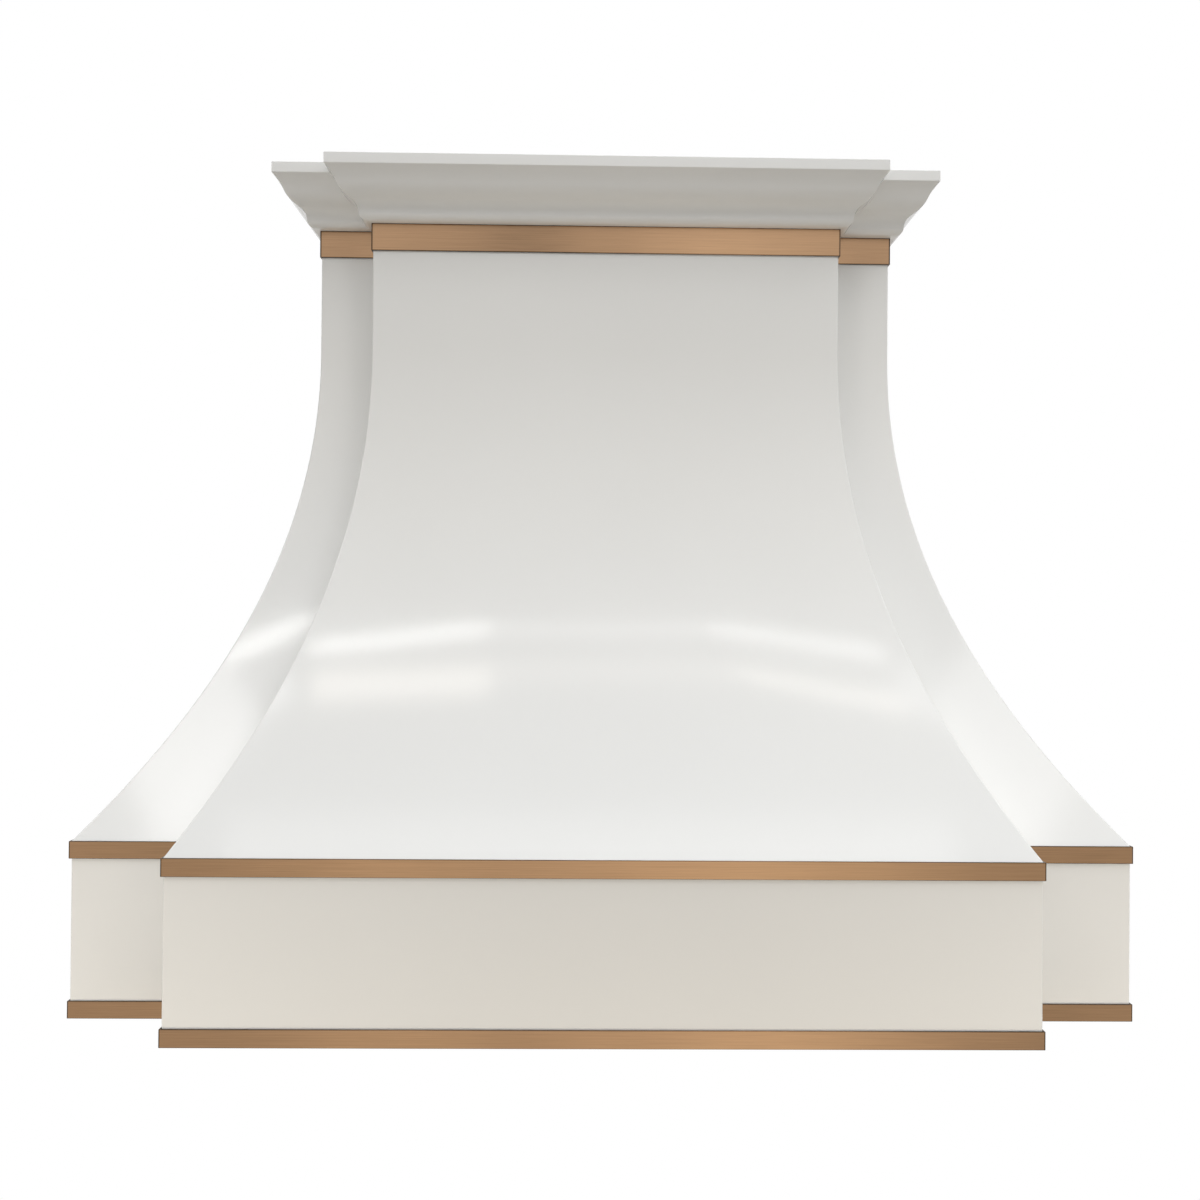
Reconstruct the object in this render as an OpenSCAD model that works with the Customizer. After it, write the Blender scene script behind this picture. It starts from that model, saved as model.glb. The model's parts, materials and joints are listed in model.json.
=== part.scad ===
/* [Shell] */
// Width across the apron of the wings
shell_w = 1219; // [1150:1:1300]
// Height from the bottom edge to the top of the crown
shell_h = 1067; // [1000:1:1150]
// Depth of the wing aprons, from the wall to their front
wing_d = 534; // [500:1:580]
// Width of the bay at its apron
bay_w = 947; // [900:1:1000]
// How far the bay's apron stands in front of the wings
bay_step = 76; // [50:1:100]
// Height of the apron
apron_h = 202; // [180:1:230]
// Width of the neck under the crown
neck_w = 791; // [740:1:850]
// Depth of the neck under the crown
neck_d = 293; // [270:1:330]
// Width of the bay under the crown
bay_top_w = 636; // [600:1:680]
// How far the bay stands in front of the wings under the crown
bay_top_step = 31; // [20:1:45]
// Upright stretch between the top band and the start of the sweep
sweep_straight = 133; // [100:1:170]
// Thickness of the shell's sheet
skin = 1.5; // [1.2:0.1:2.5]
// Width of the folded flange along the wall
flange_w = 25; // [15:1:35]

/* [Bands] */
// Height of the two apron bands
apron_band_h = 20; // [14:1:30]
// Height of the band under the crown
top_band_h = 37; // [28:1:50]
// Thickness of the bands
band_t = 2; // [1:0.1:4]

/* [Crown] */
// Height of the crown
crown_h = 73; // [66:1:90]
// How far the crown stands out from the neck
crown_out = 54; // [47:1:70]
// Height of the flat face along the crown's top edge
crown_fillet = 14; // [8:0.5:18]
// Width of the flat soffit above the band
crown_soffit = 7; // [3:0.1:9]
// Radius of the lower round
crown_round_r = 9.5; // [7:0.1:11]
// Height of the upright face above the lower round
crown_upright = 0.5; // [0.2:0.1:3]
// Radius of the hollow above the upright face
crown_hollow_r = 16.5; // [14:0.5:18]
// Radius of the shoulder between the hollow and the top hollow
crown_shoulder_r = 31; // [24:0.5:34]
// Width of the crown's flange that lies on the neck's top edge
crown_lap = 14; // [8:1:20]

/* [Wall rails] */
// Distance from the top edge to the upper bolt row
top_row_drop = 137; // [120:1:160]
// Height of the lower bolt row above the bottom edge
low_row_h = 130; // [100:1:160]
// Distance between the bolts of a row
bolt_pitch = 406.4; // [350:0.1:450]
// Radius of the bolt holes
bolt_hole_r = 4.5; // [3:0.1:6]
// Height of a rail
rail_h = 60; // [50:1:70]
// Thickness of a rail
rail_t = 3; // [2:0.1:4]
// Reach of a rail's stiffening leg from the wall
rail_leg = 18; // [12:1:20]

/* [Liner] */
// Height of the ledge that carries the liner
ledge_h = 36; // [28:1:50]
// Thickness of the ledge
ledge_t = 1.5; // [1:0.1:3]
// Width of the ledge
ledge_w = 16; // [14:1:24]
// Thickness of the liner and the plenum
liner_t = 1.2; // [0.8:0.1:2]
// Gap between the liner's edge and the shell
liner_gap = 0.4; // [0.2:0.1:1]
// Radius of the screws' shanks
screw_r = 2; // [1.5:0.1:2.5]
// Radius of the screws' heads
screw_head_r = 4.4; // [3.5:0.1:5.5]
// Height of the screws' heads
screw_head_h = 2; // [1.5:0.1:3]
// Width of the bevel round the screws' heads
screw_bevel = 1.3; // [0.8:0.1:1.5]
// Gap of the screws' shanks in their holes
screw_gap = 0.2; // [0.1:0.05:0.4]
// Distance from the wings' front to the first side screw
screw_in = 74; // [60:1:90]
// Distance from side screw to side screw
side_screw_pitch = 170; // [140:1:190]
// Distance from screw to screw along the bay
bay_screw_pitch = 226; // [210:1:280]

/* [Filters] */
// Width of a baffle filter
filter_w = 305; // [290:1:320]
// Depth of a baffle filter
filter_d = 368; // [350:1:390]
// Thickness of a baffle filter
filter_t = 22; // [18:1:28]
// Thickness of a filter frame's wall
frame_wall = 1.5; // [1:0.1:2.5]
// Width of the lips that hold the slats
frame_lip = 12; // [10:1:16]
// Width of a slat
slat_w = 27; // [20:1:32]
// Height of a slat's edges
slat_h = 8; // [5:0.5:8.5]
// Thickness of a slat's sheet
slat_t = 1; // [0.8:0.1:1.5]
// Distance from slat to slat in a row
slat_pitch = 42; // [38:1:48]
// Radius of the filter's hinge studs
stud_r = 3; // [2.5:0.1:4]
// Distance from the studs to the filter's rear and lower faces
stud_in = 6; // [5:0.5:8]
// How far a stud reaches into its ear
stud_reach = 3.5; // [2:0.1:3.8]
// Radial gap of studs, shafts and rods in their bores
run_gap = 0.05; // [0.02:0.01:0.1]
// Thickness of a hinge ear
ear_t = 8; // [8:0.5:12]
// How far an ear reaches beyond the filter's corner
ear_rim = 2; // [1:0.1:3]
// Gap between a filter's side and the hinge ear
ear_gap = 6; // [4:0.5:8]
// Gap between a filter's side and the liner's opening
filter_gap = 2.5; // [1.5:0.1:3]
// Gap between a filter's front and the plenum
filter_front_gap = 3; // [2:0.1:6]
// Gap between a filter's rear and the plenum
filter_rear_gap = 3.5; // [3:0.1:6]
// Length of a filter's pull handle
handle_l = 70; // [50:1:100]
// Drop of a filter's pull handle
handle_drop = 18; // [14:0.5:22]
// Radius of the pull handle's rod
handle_r = 2.5; // [2:0.1:3]
// Length of a holding magnet
magnet_l = 40; // [25:1:60]
// Depth and height of a holding magnet
magnet_s = 10; // [7:0.5:12]
// Gap between a part and the seat that it is laid on or swings away from
seat_gap = 0.3; // [0.2:0.05:0.6]

/* [Blower] */
// Distance from the wall to the plenum
plenum_back = 24; // [20:1:40]
// Width of the plenum's foot flange
plenum_foot = 14; // [10:1:16]
// Distance from the wall to the duct's centre
duct_y = 150; // [135:1:165]
// Outer radius of the impeller
wheel_r = 80; // [70:1:90]
// Length of the impeller
wheel_l = 160; // [130:1:190]
// Number of blades round the impeller
blade_count = 36; // [24:1:48]
// Depth of a blade, from its outer to its inner edge
blade_d = 13; // [9:0.5:16]
// Width of a blade's sheet
blade_w = 12.4; // [8:0.1:13]
// Thickness of a blade
blade_t = 1.2; // [0.8:0.1:2]
// Angle of a blade to the wheel's radius
blade_tilt = 35; // [20:1:40]
// Thickness of the impeller's end rings
ring_t = 3; // [2:0.1:5]
// Smallest gap between the impeller and the scroll
tongue_gap = 8; // [6:0.5:12]
// Depth of the scroll's outlet
outlet_d = 100; // [90:1:115]
// Height of the outlet above the impeller's axis
outlet_rise = 108; // [106:1:130]
// Gap between an impeller end and the scroll's side
wheel_end_gap = 10; // [5:0.5:15]
// Thickness of the scroll's sheet
scroll_t = 1.2; // [0.8:0.1:2]
// Radius of the scroll's inlets
inlet_r = 68; // [60:1:72]
// Gap between the filters and the scroll
blower_gap = 18; // [14:1:30]
// Width of the scroll's fixing tabs
tab_w = 18; // [15:1:24]
// Radius of the blower bolts
blower_bolt_r = 3; // [2.5:0.1:4]
// Radius of a blower bolt's head, over its corners
bolt_head_r = 5.7; // [4.8:0.1:7]
// Height of a blower bolt's head
bolt_head_h = 4.2; // [3:0.1:6]
// Length of a blower bolt under its tab
bolt_tail = 3; // [2:0.1:8]

/* [Motor] */
// Radius of the motor
motor_r = 46; // [40:1:50]
// Length of the motor
motor_l = 84; // [70:1:90]
// Gap between the motor and the impeller's web
motor_gap = 14; // [12:1:20]
// Radius of the motor shaft
shaft_r = 6; // [5:0.1:8]
// Gap between the shaft and the motor's core
core_gap = 2; // [1:0.1:4]
// Outer radius of the motor's bearings
bearing_r = 13; // [11:0.5:16]
// Length of a bearing
bearing_l = 9; // [6:0.5:12]
// Thickness of the impeller's web
web_t = 2; // [1.5:0.1:4]
// Radius of the impeller's hub
hub_r = 12; // [10:0.5:16]
// Radius of the hub's flange
hub_flange_r = 24; // [20:0.5:30]
// Length of the impeller's hub
hub_l = 20; // [14:1:26]
// Thickness of the motor bracket
bracket_t = 3; // [2:0.1:4]
// Width of an arm of the motor bracket
arm_w = 14; // [8:1:20]

/* [Duct] */
// Height of the box between the plenum and the collar
box_h = 50; // [30:1:80]
// Width of the outlet box
box_w = 234; // [225:1:250]
// Outer radius of the duct collar
collar_r = 100.8; // [95:0.1:104]
// Height of the duct collar
collar_h = 122; // [115:1:140]
// Width of the collar's foot flange
collar_foot = 12; // [8:0.5:13]
// Thickness of the collar and the outlet box
duct_t = 1.2; // [0.8:0.1:2]
// Height of the damper's rod above the collar's foot
damper_h = 18; // [14:1:24]
// Radius of the damper's rod
rod_r = 3; // [2:0.1:4]
// Thickness of a knuckle round the rod
knuckle_t = 2; // [1.5:0.1:3]
// Length of a knuckle
knuckle_l = 30; // [20:1:40]
// Gap from knuckle to knuckle
knuckle_gap = 1.5; // [0.5:0.1:3]
// Gap between a flap's root and the other flap's knuckles
root_gap = 0.6; // [0.3:0.1:2]
// Thickness of a damper flap
flap_t = 1; // [0.8:0.1:1.5]
// Gap between a flap and the collar
flap_gap = 1.6; // [1:0.1:3]
// Width of the ring that the flaps rest on
stop_w = 8; // [5:0.5:12]

/* [Controls] */
// Length of the control panel
panel_l = 200; // [180:1:260]
// Depth of the control panel
panel_d = 44; // [36:1:50]
// Thickness of the control panel
panel_t = 3; // [2:0.1:4]
// Distance from the bay's front to the control panel's centre
panel_in = 46; // [42:1:50]
// Radius of a push button
button_r = 8; // [6:0.1:10]
// Distance from button to button
button_pitch = 40; // [30:1:44]
// How far a button stands out of its panel
button_out = 4; // [3:0.1:6]
// Travel of a button
button_travel = 1.5; // [1:0.1:2]
// Radial gap round a button
button_gap = 0.4; // [0.3:0.05:0.8]
// How far a button's collar reaches beyond its cap
button_lip = 1.4; // [1.2:0.1:2]
// Radius of a button's stem
stem_r = 2.5; // [2:0.1:3.5]
// Length of the bosses that the stems slide in
stem_boss = 10; // [6:0.5:14]
// Distance from the panel's ends to the slot behind it
slot_end = 16; // [10:1:20]
// Distance from the panel's long edges to the slot behind it
slot_side = 11; // [8:0.5:12]
// Height of the switch housing
switch_h = 30; // [26:1:40]
// Wall of the switch housing
switch_wall = 2.5; // [2:0.1:4]

/* [Lamps] */
// Distance from the middle to the inner lamps
lamp_x_inner = 170; // [140:1:200]
// Distance from the middle to the outer lamps
lamp_x_outer = 450; // [400:1:500]
// Gap between the lamps' bezels and the wings' ledge
lamp_gap = 1.5; // [1:0.1:10]
// Radius of a lamp's housing
lamp_r = 30; // [24:0.5:34]
// Height of a lamp's housing
lamp_h = 28; // [20:1:40]
// Wall of a lamp's housing
lamp_wall = 1; // [0.8:0.1:2]
// Depth of a lamp's hollow
lamp_hollow = 14; // [10:1:18]
// Width of a lamp's bezel outside its housing
bezel_w = 7; // [4:0.5:9]
// Thickness of a lamp's bezel
bezel_t = 2.5; // [1.5:0.1:4]
// Width of a lamp's bezel over its lens
bezel_lap = 3; // [2:0.1:5]
// Thickness of a lamp's lens
lens_t = 3; // [2:0.1:4]

/* [Wiring] */
// Length of the junction box
junction_l = 120; // [90:1:150]
// Depth of the junction box
junction_d = 80; // [60:1:100]
// Height of the junction box
junction_h = 50; // [40:1:60]
// Wall of the junction box
junction_wall = 2; // [1.5:0.1:3]
// Distance from the middle to the junction box
junction_x = 290; // [240:1:310]
// Distance from the wall to the junction box
junction_y = 60; // [50:1:90]
// Radius of the supply cable's way through the gland
gland_r = 5; // [4:0.1:6]
// Radius of the gland's thread
gland_thread_r = 9; // [8:0.1:11]
// Radius of the gland's nut
gland_nut_r = 12; // [11:0.5:14]
// Height of the gland's nut
gland_nut_h = 9; // [6:0.5:12]
// Length of the gland outside the junction box
gland_l = 18; // [12:1:26]
// Length of the gland inside the junction box's lid
gland_tail = 4; // [3:0.1:10]
// Radius of the motor's capacitor
capacitor_r = 18; // [14:0.5:22]
// Length of the motor's capacitor
capacitor_l = 70; // [50:1:90]
// Radius of the wiring loom
loom_r = 4; // [3:0.1:5]

/* [Hidden] */
$fn = 64;
// A cut runs this far past the face that it opens
over = 1;
// The origin is the centre of the wall bolts, so the bottom edge lies below it
bolt_rows = shell_h - top_row_drop - low_row_h;
base_z = -low_row_h - bolt_rows / 2;

// The sweep: an upright stretch, then an arc that ends at the apron
side_flare = (shell_w - neck_w) / 2;
wing_flare = wing_d - neck_d;
neck_h = shell_h - crown_h - top_band_h;
arc_top_h = neck_h - sweep_straight;
sweep_run = arc_top_h - apron_h;
sweep_angle = 2 * atan(side_flare / sweep_run);
sweep_r = sweep_run / sin(sweep_angle);
sweep_steps = 24;
// How much farther the other panels flare than the side panels
wing_q = wing_flare / side_flare;
bay_side_q = (bay_w - bay_top_w) / 2 / side_flare;
bay_front_q = (wing_flare + bay_step - bay_top_step) / side_flare;
panel_top_h = shell_h - skin;
wall_gap = rail_t + skin;

// Filters, side by side over the plenum's width
filter_names = ["left", "centre", "right"];
filter_pitch = filter_w + 2 * ear_gap + ear_t;
liner_h = ledge_h + ledge_t;
liner_top_h = liner_h + liner_t;
plenum_in_w = 3 * filter_pitch + ear_t;
plenum_in_back = plenum_back + liner_t;
plenum_in_d = filter_d + filter_front_gap + filter_rear_gap;
plenum_in_front = plenum_in_back + plenum_in_d;
filter_back = plenum_in_back + filter_rear_gap;
filter_front = filter_back + filter_d;
stud_y = -(filter_back + stud_in);
stud_h = liner_h + stud_in;
ear_d = 2 * (stud_in + ear_rim);
ear_h = 2 * stud_in + ear_rim;
slat_count = floor((filter_w - 2 * frame_lip - slat_w) / slat_pitch) + 1;

// Scroll and impeller, about an axis along X
tongue_angle = 50;
scroll_r_min = wheel_r + tongue_gap;
scroll_r_max = scroll_r_min * cos(tongue_angle) + outlet_d;
scroll_bottom_r = scroll_r_min + (scroll_r_max - scroll_r_min) * (270 - tongue_angle) / (360 - tongue_angle);
axis_y = -duct_y - (scroll_r_max + scroll_r_min * cos(tongue_angle)) / 2;
axis_h = liner_h + filter_t + blower_gap + scroll_bottom_r + scroll_t;
scroll_in_w = wheel_l + 2 * wheel_end_gap;
plenum_top_h = axis_h + outlet_rise;
plenum_h = plenum_top_h + liner_t - liner_top_h;
wheel_in_r = wheel_r - blade_d;
blade_l = wheel_l / 2 - ring_t;
motor_x = -motor_gap - motor_l;

// Outlet box, collar and damper
box_base_h = plenum_top_h + liner_t;
collar_base_h = box_base_h + box_h;
collar_in_r = collar_r - duct_t;
rod_h = collar_base_h + damper_h;
flap_r = collar_in_r - flap_gap;
knuckle_r = rod_r + run_gap + knuckle_t;
flap_root = knuckle_r + root_gap;

// Controls and lamps
panel_y = -(wing_d + bay_step - panel_in);
lamp_y = wing_d - skin - ledge_w - lamp_gap - bezel_w - lamp_r;
button_x = [for (i = [0:3]) (i - 1.5) * button_pitch];
lamp_x = [-lamp_x_outer, -lamp_x_inner, lamp_x_inner, lamp_x_outer];

function reversed(pts) = [for (i = [len(pts) - 1:-1:0]) pts[i]];
function moved(pts, dx, dy) = [for (p = pts) [p[0] + dx, p[1] + dy]];
function arc(cx, cy, r, a0, a1, n) = [for (i = [0:n]) let (a = a0 + (a1 - a0) * i / n) [cx + r * cos(a), cy + r * sin(a)]];

// Outward run and height of a swept sheet at angle a, with its flare drawn out by q and its face moved in by off
function sweep_point(a, q, off) =
    let (n = norm([cos(a), q * sin(a)]))
    [q * sweep_r * (1 - cos(a)) - off * cos(a) / n,
     max(arc_top_h - sweep_r * sin(a) - off * q * sin(a) / n, apron_h)];
function sweep_line(q, off) =
    concat([[-off, panel_top_h]], [for (i = [0:sweep_steps]) sweep_point(sweep_angle * i / sweep_steps, q, off)]);

// Plan of the shell from wall to wall, moved out by off, for a width and depth and the bay's width and step
function plan_path(w, d, bw, bs, off, back = 0) =
    [[-w / 2 - off, -back], [-w / 2 - off, -d - off], [-bw / 2 - off, -d - off], [-bw / 2 - off, -d - bs - off],
     [bw / 2 + off, -d - bs - off], [bw / 2 + off, -d - off], [w / 2 + off, -d - off], [w / 2 + off, -back]];
function apron_path(off, back = 0) = plan_path(shell_w, wing_d, bay_w, bay_step, off, back);
function neck_path(off) = plan_path(neck_w, neck_d, bay_top_w, bay_top_step, off);
function ring_between(outer, inner) = concat(outer, reversed(inner));

// Plan point of a hip where the sides have flared by g
function wing_hip(g) = [neck_w / 2 + g, -(neck_d + wing_q * g)];
function bay_hip(g) = [bay_top_w / 2 + bay_side_q * g, -(neck_d + bay_top_step + bay_front_q * g)];
hip_in = -60;
hip_out = side_flare + 20;

// Crown profile as distance out and height, moved in by off; the top hollow joins the shoulder to the fillet
shoulder_start = 25;
top_turn = 12;
hollow_c = [crown_soffit + crown_round_r + crown_hollow_r, crown_round_r + crown_upright];
shoulder_c = hollow_c + (crown_hollow_r + crown_shoulder_r) * [-sin(shoulder_start), cos(shoulder_start)];
crown_lip = [crown_out, crown_h - crown_fillet];
lip_way = crown_lip - shoulder_c;
shoulder_end = top_turn + atan2(lip_way[1], lip_way[0]) + asin(crown_shoulder_r * cos(top_turn) / norm(lip_way));
shoulder_tip = shoulder_c + crown_shoulder_r * [sin(shoulder_end), -cos(shoulder_end)];
top_hollow_r = norm(crown_lip - shoulder_tip) / (2 * sin(top_turn));
top_centre = shoulder_tip + top_hollow_r * [sin(shoulder_end), -cos(shoulder_end)];
function crown_line(off) = concat(
    [[0, off]],
    arc(crown_soffit, crown_round_r, crown_round_r - off, -90, 0, 6),
    arc(hollow_c[0], hollow_c[1], crown_hollow_r + off, 180, 90 + shoulder_start, 7),
    arc(shoulder_c[0], shoulder_c[1], crown_shoulder_r - off, shoulder_start - 90, shoulder_end - 90, 6),
    arc(top_centre[0], top_centre[1], top_hollow_r + off, 90 + shoulder_end, 90 + shoulder_end - 2 * top_turn, 4),
    [[crown_out - off, crown_h - off]]);
crown_profile = concat(crown_line(0), [[-crown_lap, crown_h], [-crown_lap, crown_h - skin]], reversed(crown_line(skin)));

// Scroll as Y and Z from the impeller's axis, its sheet moved out by off
function scroll_radius(a) = scroll_r_min + (scroll_r_max - scroll_r_min) * (a - tongue_angle) / (360 - tongue_angle);
function scroll_line(off) = let (
        y0 = scroll_r_min * cos(tongue_angle) - off,
        z0 = sqrt(pow(scroll_r_min + off, 2) - y0 * y0))
    concat([[y0, outlet_rise], [y0, z0]],
        [for (a = [tongue_angle + 10:10:360]) (scroll_radius(a) + off) * [cos(a), sin(a)]],
        [[scroll_r_max + off, outlet_rise]]);

module at_height(h) translate([0, 0, base_z + h]) children();
module plan_prism(h, t, pts) at_height(h) linear_extrude(height = t) polygon(pts);
module box(x0, x1, y0, y1, h0, h1) translate([x0, y0, base_z + h0]) cube([x1 - x0, y1 - y0, h1 - h0]);
// A profile of Y and Z from the impeller's axis, extruded along X from x0
module axis_extrude(x0, l) translate([x0, axis_y, base_z + axis_h]) rotate([90, 0, 90]) linear_extrude(height = l) children();
module x_rod(x0, l, r) translate([x0, 0, 0]) rotate([0, 90, 0]) cylinder(h = l, r = r);

// A profile of distance out and height, extruded towards the viewer, for the right side
module side_extrude(base, l) translate([base, 0, base_z]) rotate([90, 0, 0]) linear_extrude(height = l) children();
// A profile of distance out and height, extruded across the width, for the front
module front_extrude(base) translate([0, -base, base_z]) rotate([90, 0, -90])
    linear_extrude(height = shell_w, center = true) children();

module side_sheet(base, q) side_extrude(base, wing_d + bay_step + hip_out)
    polygon(ring_between(sweep_line(q, 0), sweep_line(q, skin)));
module front_sheet(base, q) front_extrude(base) polygon(ring_between(sweep_line(q, 0), sweep_line(q, skin)));
module full_prism(pts) plan_prism(0, shell_h, pts);

// Everything behind the inner face of the wing fronts, and everything inside the bay's returns
module wing_core() front_extrude(neck_d) polygon(concat([[-neck_d, shell_h]], [[-skin, shell_h]],
    sweep_line(wing_q, skin), [[wing_flare - skin, 0], [-neck_d, 0]]));
module bay_core() side_extrude(bay_top_w / 2, wing_d + bay_step + hip_out) polygon(concat([[-bay_top_w / 2 - over, shell_h]],
    [[0, shell_h]], sweep_line(bay_side_q, 0), [[bay_side_q * side_flare, 0], [-bay_top_w / 2 - over, 0]]));

module bay_front_panel() color("white") intersection() {
    front_sheet(neck_d + bay_top_step, bay_front_q);
    full_prism([bay_hip(hip_in), bay_hip(hip_out), [-bay_hip(hip_out)[0], bay_hip(hip_out)[1]], [-bay_hip(hip_in)[0], bay_hip(hip_in)[1]]]);
}

module bay_return() color("white") difference() {
    intersection() {
        side_sheet(bay_top_w / 2, bay_side_q);
        full_prism([bay_hip(hip_in), bay_hip(hip_out), [bay_hip(hip_out)[0], 0], [bay_hip(hip_in)[0], 0]]);
    }
    wing_core();
}

module wing_front() color("white") difference() {
    intersection() {
        front_sheet(neck_d, wing_q);
        full_prism([wing_hip(hip_in), wing_hip(hip_out), [0, wing_hip(hip_out)[1]], [0, wing_hip(hip_in)[1]]]);
    }
    bay_core();
}

// The side's sheet with its folded flange, which lies behind the wall rails' ends
module side_panel() color("white") union() {
    intersection() {
        side_sheet(neck_w / 2, 1);
        full_prism([[wing_hip(hip_in)[0], 0], wing_hip(hip_in), wing_hip(hip_out), [wing_hip(hip_out)[0], 0]]);
    }
    translate([0, -rail_t, 0]) side_extrude(neck_w / 2, skin)
        polygon(ring_between(sweep_line(1, skin), sweep_line(1, skin + flange_w)));
}

module apron_panel() color("white") plan_prism(0, apron_h, ring_between(apron_path(0), apron_path(-skin)));
module apron_band(h) color("peru") plan_prism(h, apron_band_h, ring_between(apron_path(band_t), apron_path(0)));
module top_band() color("peru") plan_prism(neck_h, top_band_h, ring_between(neck_path(band_t), neck_path(0)));

// One straight run of the crown, facing the direction a, cut at its mitres
module crown_run(i, a, base) intersection() {
    rotate([0, 0, a]) translate([base, 0, base_z + shell_h - crown_h]) rotate([90, 0, 0])
        linear_extrude(height = 2 * shell_w, center = true) polygon(crown_profile);
    full_prism([neck_path(-crown_lap - over)[i], neck_path(-crown_lap - over)[i + 1],
        neck_path(crown_out + over)[i + 1], neck_path(crown_out + over)[i]]);
}

module crown_moulding() color("white") union() {
    crown_run(0, 180, neck_w / 2);
    crown_run(1, -90, neck_d);
    crown_run(2, 180, bay_top_w / 2);
    crown_run(3, -90, neck_d + bay_top_step);
    crown_run(4, 0, bay_top_w / 2);
    crown_run(5, -90, neck_d);
    crown_run(6, 0, neck_w / 2);
}

// A wall rail with a leg along its top, for the shell's half width at its height
module wall_rail(h, half) color("silver") difference() {
    union() {
        box(-half, half, -rail_t, 0, h - rail_h / 2, h + rail_h / 2);
        box(-half + flange_w + over, half - flange_w - over, -rail_leg, 0, h + rail_h / 2 - rail_t, h + rail_h / 2);
    }
    for (s = [-1, 1]) translate([s * bolt_pitch / 2, over, base_z + h]) rotate([90, 0, 0]) cylinder(h = rail_t + 2 * over, r = bolt_hole_r);
}

// Screw places along the ledge, as [x, y]
ledge_mid = skin + ledge_w / 2;
screw_places = concat(
    [for (s = [-1, 1], k = [0:2]) [s * (shell_w / 2 - ledge_mid), k * side_screw_pitch + screw_in - wing_d]],
    [for (s = [-1, 1]) [s * (shell_w + bay_w) / 4, -(wing_d - ledge_mid)]],
    [for (k = [-1.5:1:1.5]) [k * bay_screw_pitch, -(wing_d + bay_step - ledge_mid)]]);

module screw_holes() for (p = screw_places) translate([p[0], p[1], base_z + ledge_h - over])
    cylinder(h = ledge_t + liner_t + 2 * over, r = screw_r + screw_gap);

module liner_ledge() color("silver") difference() {
    plan_prism(ledge_h, ledge_t, ring_between(apron_path(-skin, wall_gap), apron_path(-skin - ledge_w, wall_gap)));
    screw_holes();
}

// The slot behind the control panel, from height h0 to h1
module panel_slot(h0, h1) box(-panel_l / 2 + slot_end, panel_l / 2 - slot_end,
    panel_y - panel_d / 2 + slot_side, panel_y + panel_d / 2 - slot_side, h0, h1);

// Left edge of filter i
function filter_x(i) = (i - 1) * filter_pitch - filter_w / 2;

module liner_pan() color("gainsboro") difference() {
    plan_prism(liner_h, liner_t, apron_path(-skin - liner_gap, wall_gap));
    for (i = [0:2]) box(filter_x(i) - filter_gap, filter_x(i) + filter_w + filter_gap,
        -plenum_in_front, -plenum_in_back, liner_h - over, liner_top_h + over);
    panel_slot(liner_h - over, liner_top_h + over);
    for (x = lamp_x) translate([x, -lamp_y, base_z + liner_h - over]) cylinder(h = liner_t + 2 * over, r = lamp_r + seat_gap);
    screw_holes();
}

module liner_screws() color("dimgray") for (p = screw_places) translate([p[0], p[1], base_z + ledge_h]) union() {
    mirror([0, 0, 1]) cylinder(h = screw_head_h, r1 = screw_head_r, r2 = screw_head_r - screw_bevel);
    cylinder(h = ledge_t + liner_t + screw_head_h, r = screw_r);
}

blower_bolt_places = [for (s = [-1, 1], t = [-1, 1])
    [s * (scroll_in_w / 2 + scroll_t + tab_w / 2), -duct_y + t * (outlet_d - tab_w) / 2]];
module blower_bolt_holes() for (p = blower_bolt_places) translate([p[0], p[1], base_z + plenum_top_h - 4 * scroll_t])
    cylinder(h = 8 * scroll_t, r = blower_bolt_r + screw_gap);

module plenum_box() color("silver") difference() {
    union() {
        box(-plenum_in_w / 2 - liner_t, plenum_in_w / 2 + liner_t, -plenum_in_front - liner_t, -plenum_back,
            liner_top_h, liner_top_h + plenum_h);
        box(-plenum_in_w / 2 - plenum_foot, plenum_in_w / 2 + plenum_foot, -plenum_in_front - plenum_foot,
            -plenum_back + plenum_foot, liner_top_h, liner_top_h + liner_t);
    }
    box(-plenum_in_w / 2, plenum_in_w / 2, -plenum_in_front, -plenum_in_back, liner_top_h - over, plenum_top_h);
    box(-scroll_in_w / 2, scroll_in_w / 2, -duct_y - outlet_d / 2, -duct_y + outlet_d / 2,
        plenum_top_h - over, plenum_top_h + liner_t + over);
    blower_bolt_holes();
}

// A stud on each side of the filter turns in the hinge ears
module filter_frame(i) color("silver") translate([filter_x(i), -filter_front, base_z + liner_h]) union() {
    difference() {
        cube([filter_w, filter_d, filter_t]);
        translate([frame_wall, frame_wall, slat_t]) cube([filter_w - 2 * frame_wall, filter_d - 2 * frame_wall, filter_t - 2 * slat_t]);
        translate([frame_lip, frame_lip, -over]) cube([filter_w - 2 * frame_lip, filter_d - 2 * frame_lip, filter_t + 2 * over]);
    }
    for (x = [-ear_gap - stud_reach, filter_w]) translate([0, filter_d - stud_in, stud_in]) x_rod(x, ear_gap + stud_reach, stud_r);
}

// One slat, a channel that runs from the filter's front to its rear, open upwards
module slat(x, h, up) translate([x, -filter_front + frame_wall, base_z + h]) mirror([0, 0, up ? 0 : 1]) rotate([-90, 0, 0])
    linear_extrude(height = filter_d - 2 * frame_wall)
    polygon([[0, 0], [slat_w, 0], [slat_w, -slat_h], [slat_w - slat_t, -slat_h], [slat_w - slat_t, -slat_t],
        [slat_t, -slat_t], [slat_t, -slat_h], [0, -slat_h]]);

module baffle_slats(i) color("gainsboro") {
    first = filter_x(i) + (filter_w - slat_w - (slat_count - 1) * slat_pitch) / 2;
    for (k = [0:slat_count - 1]) slat(first + k * slat_pitch, liner_h + slat_t, true);
    for (k = [0:slat_count - 2]) slat(first + (k + 0.5) * slat_pitch, liner_h + filter_t - slat_t, false);
}

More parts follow.
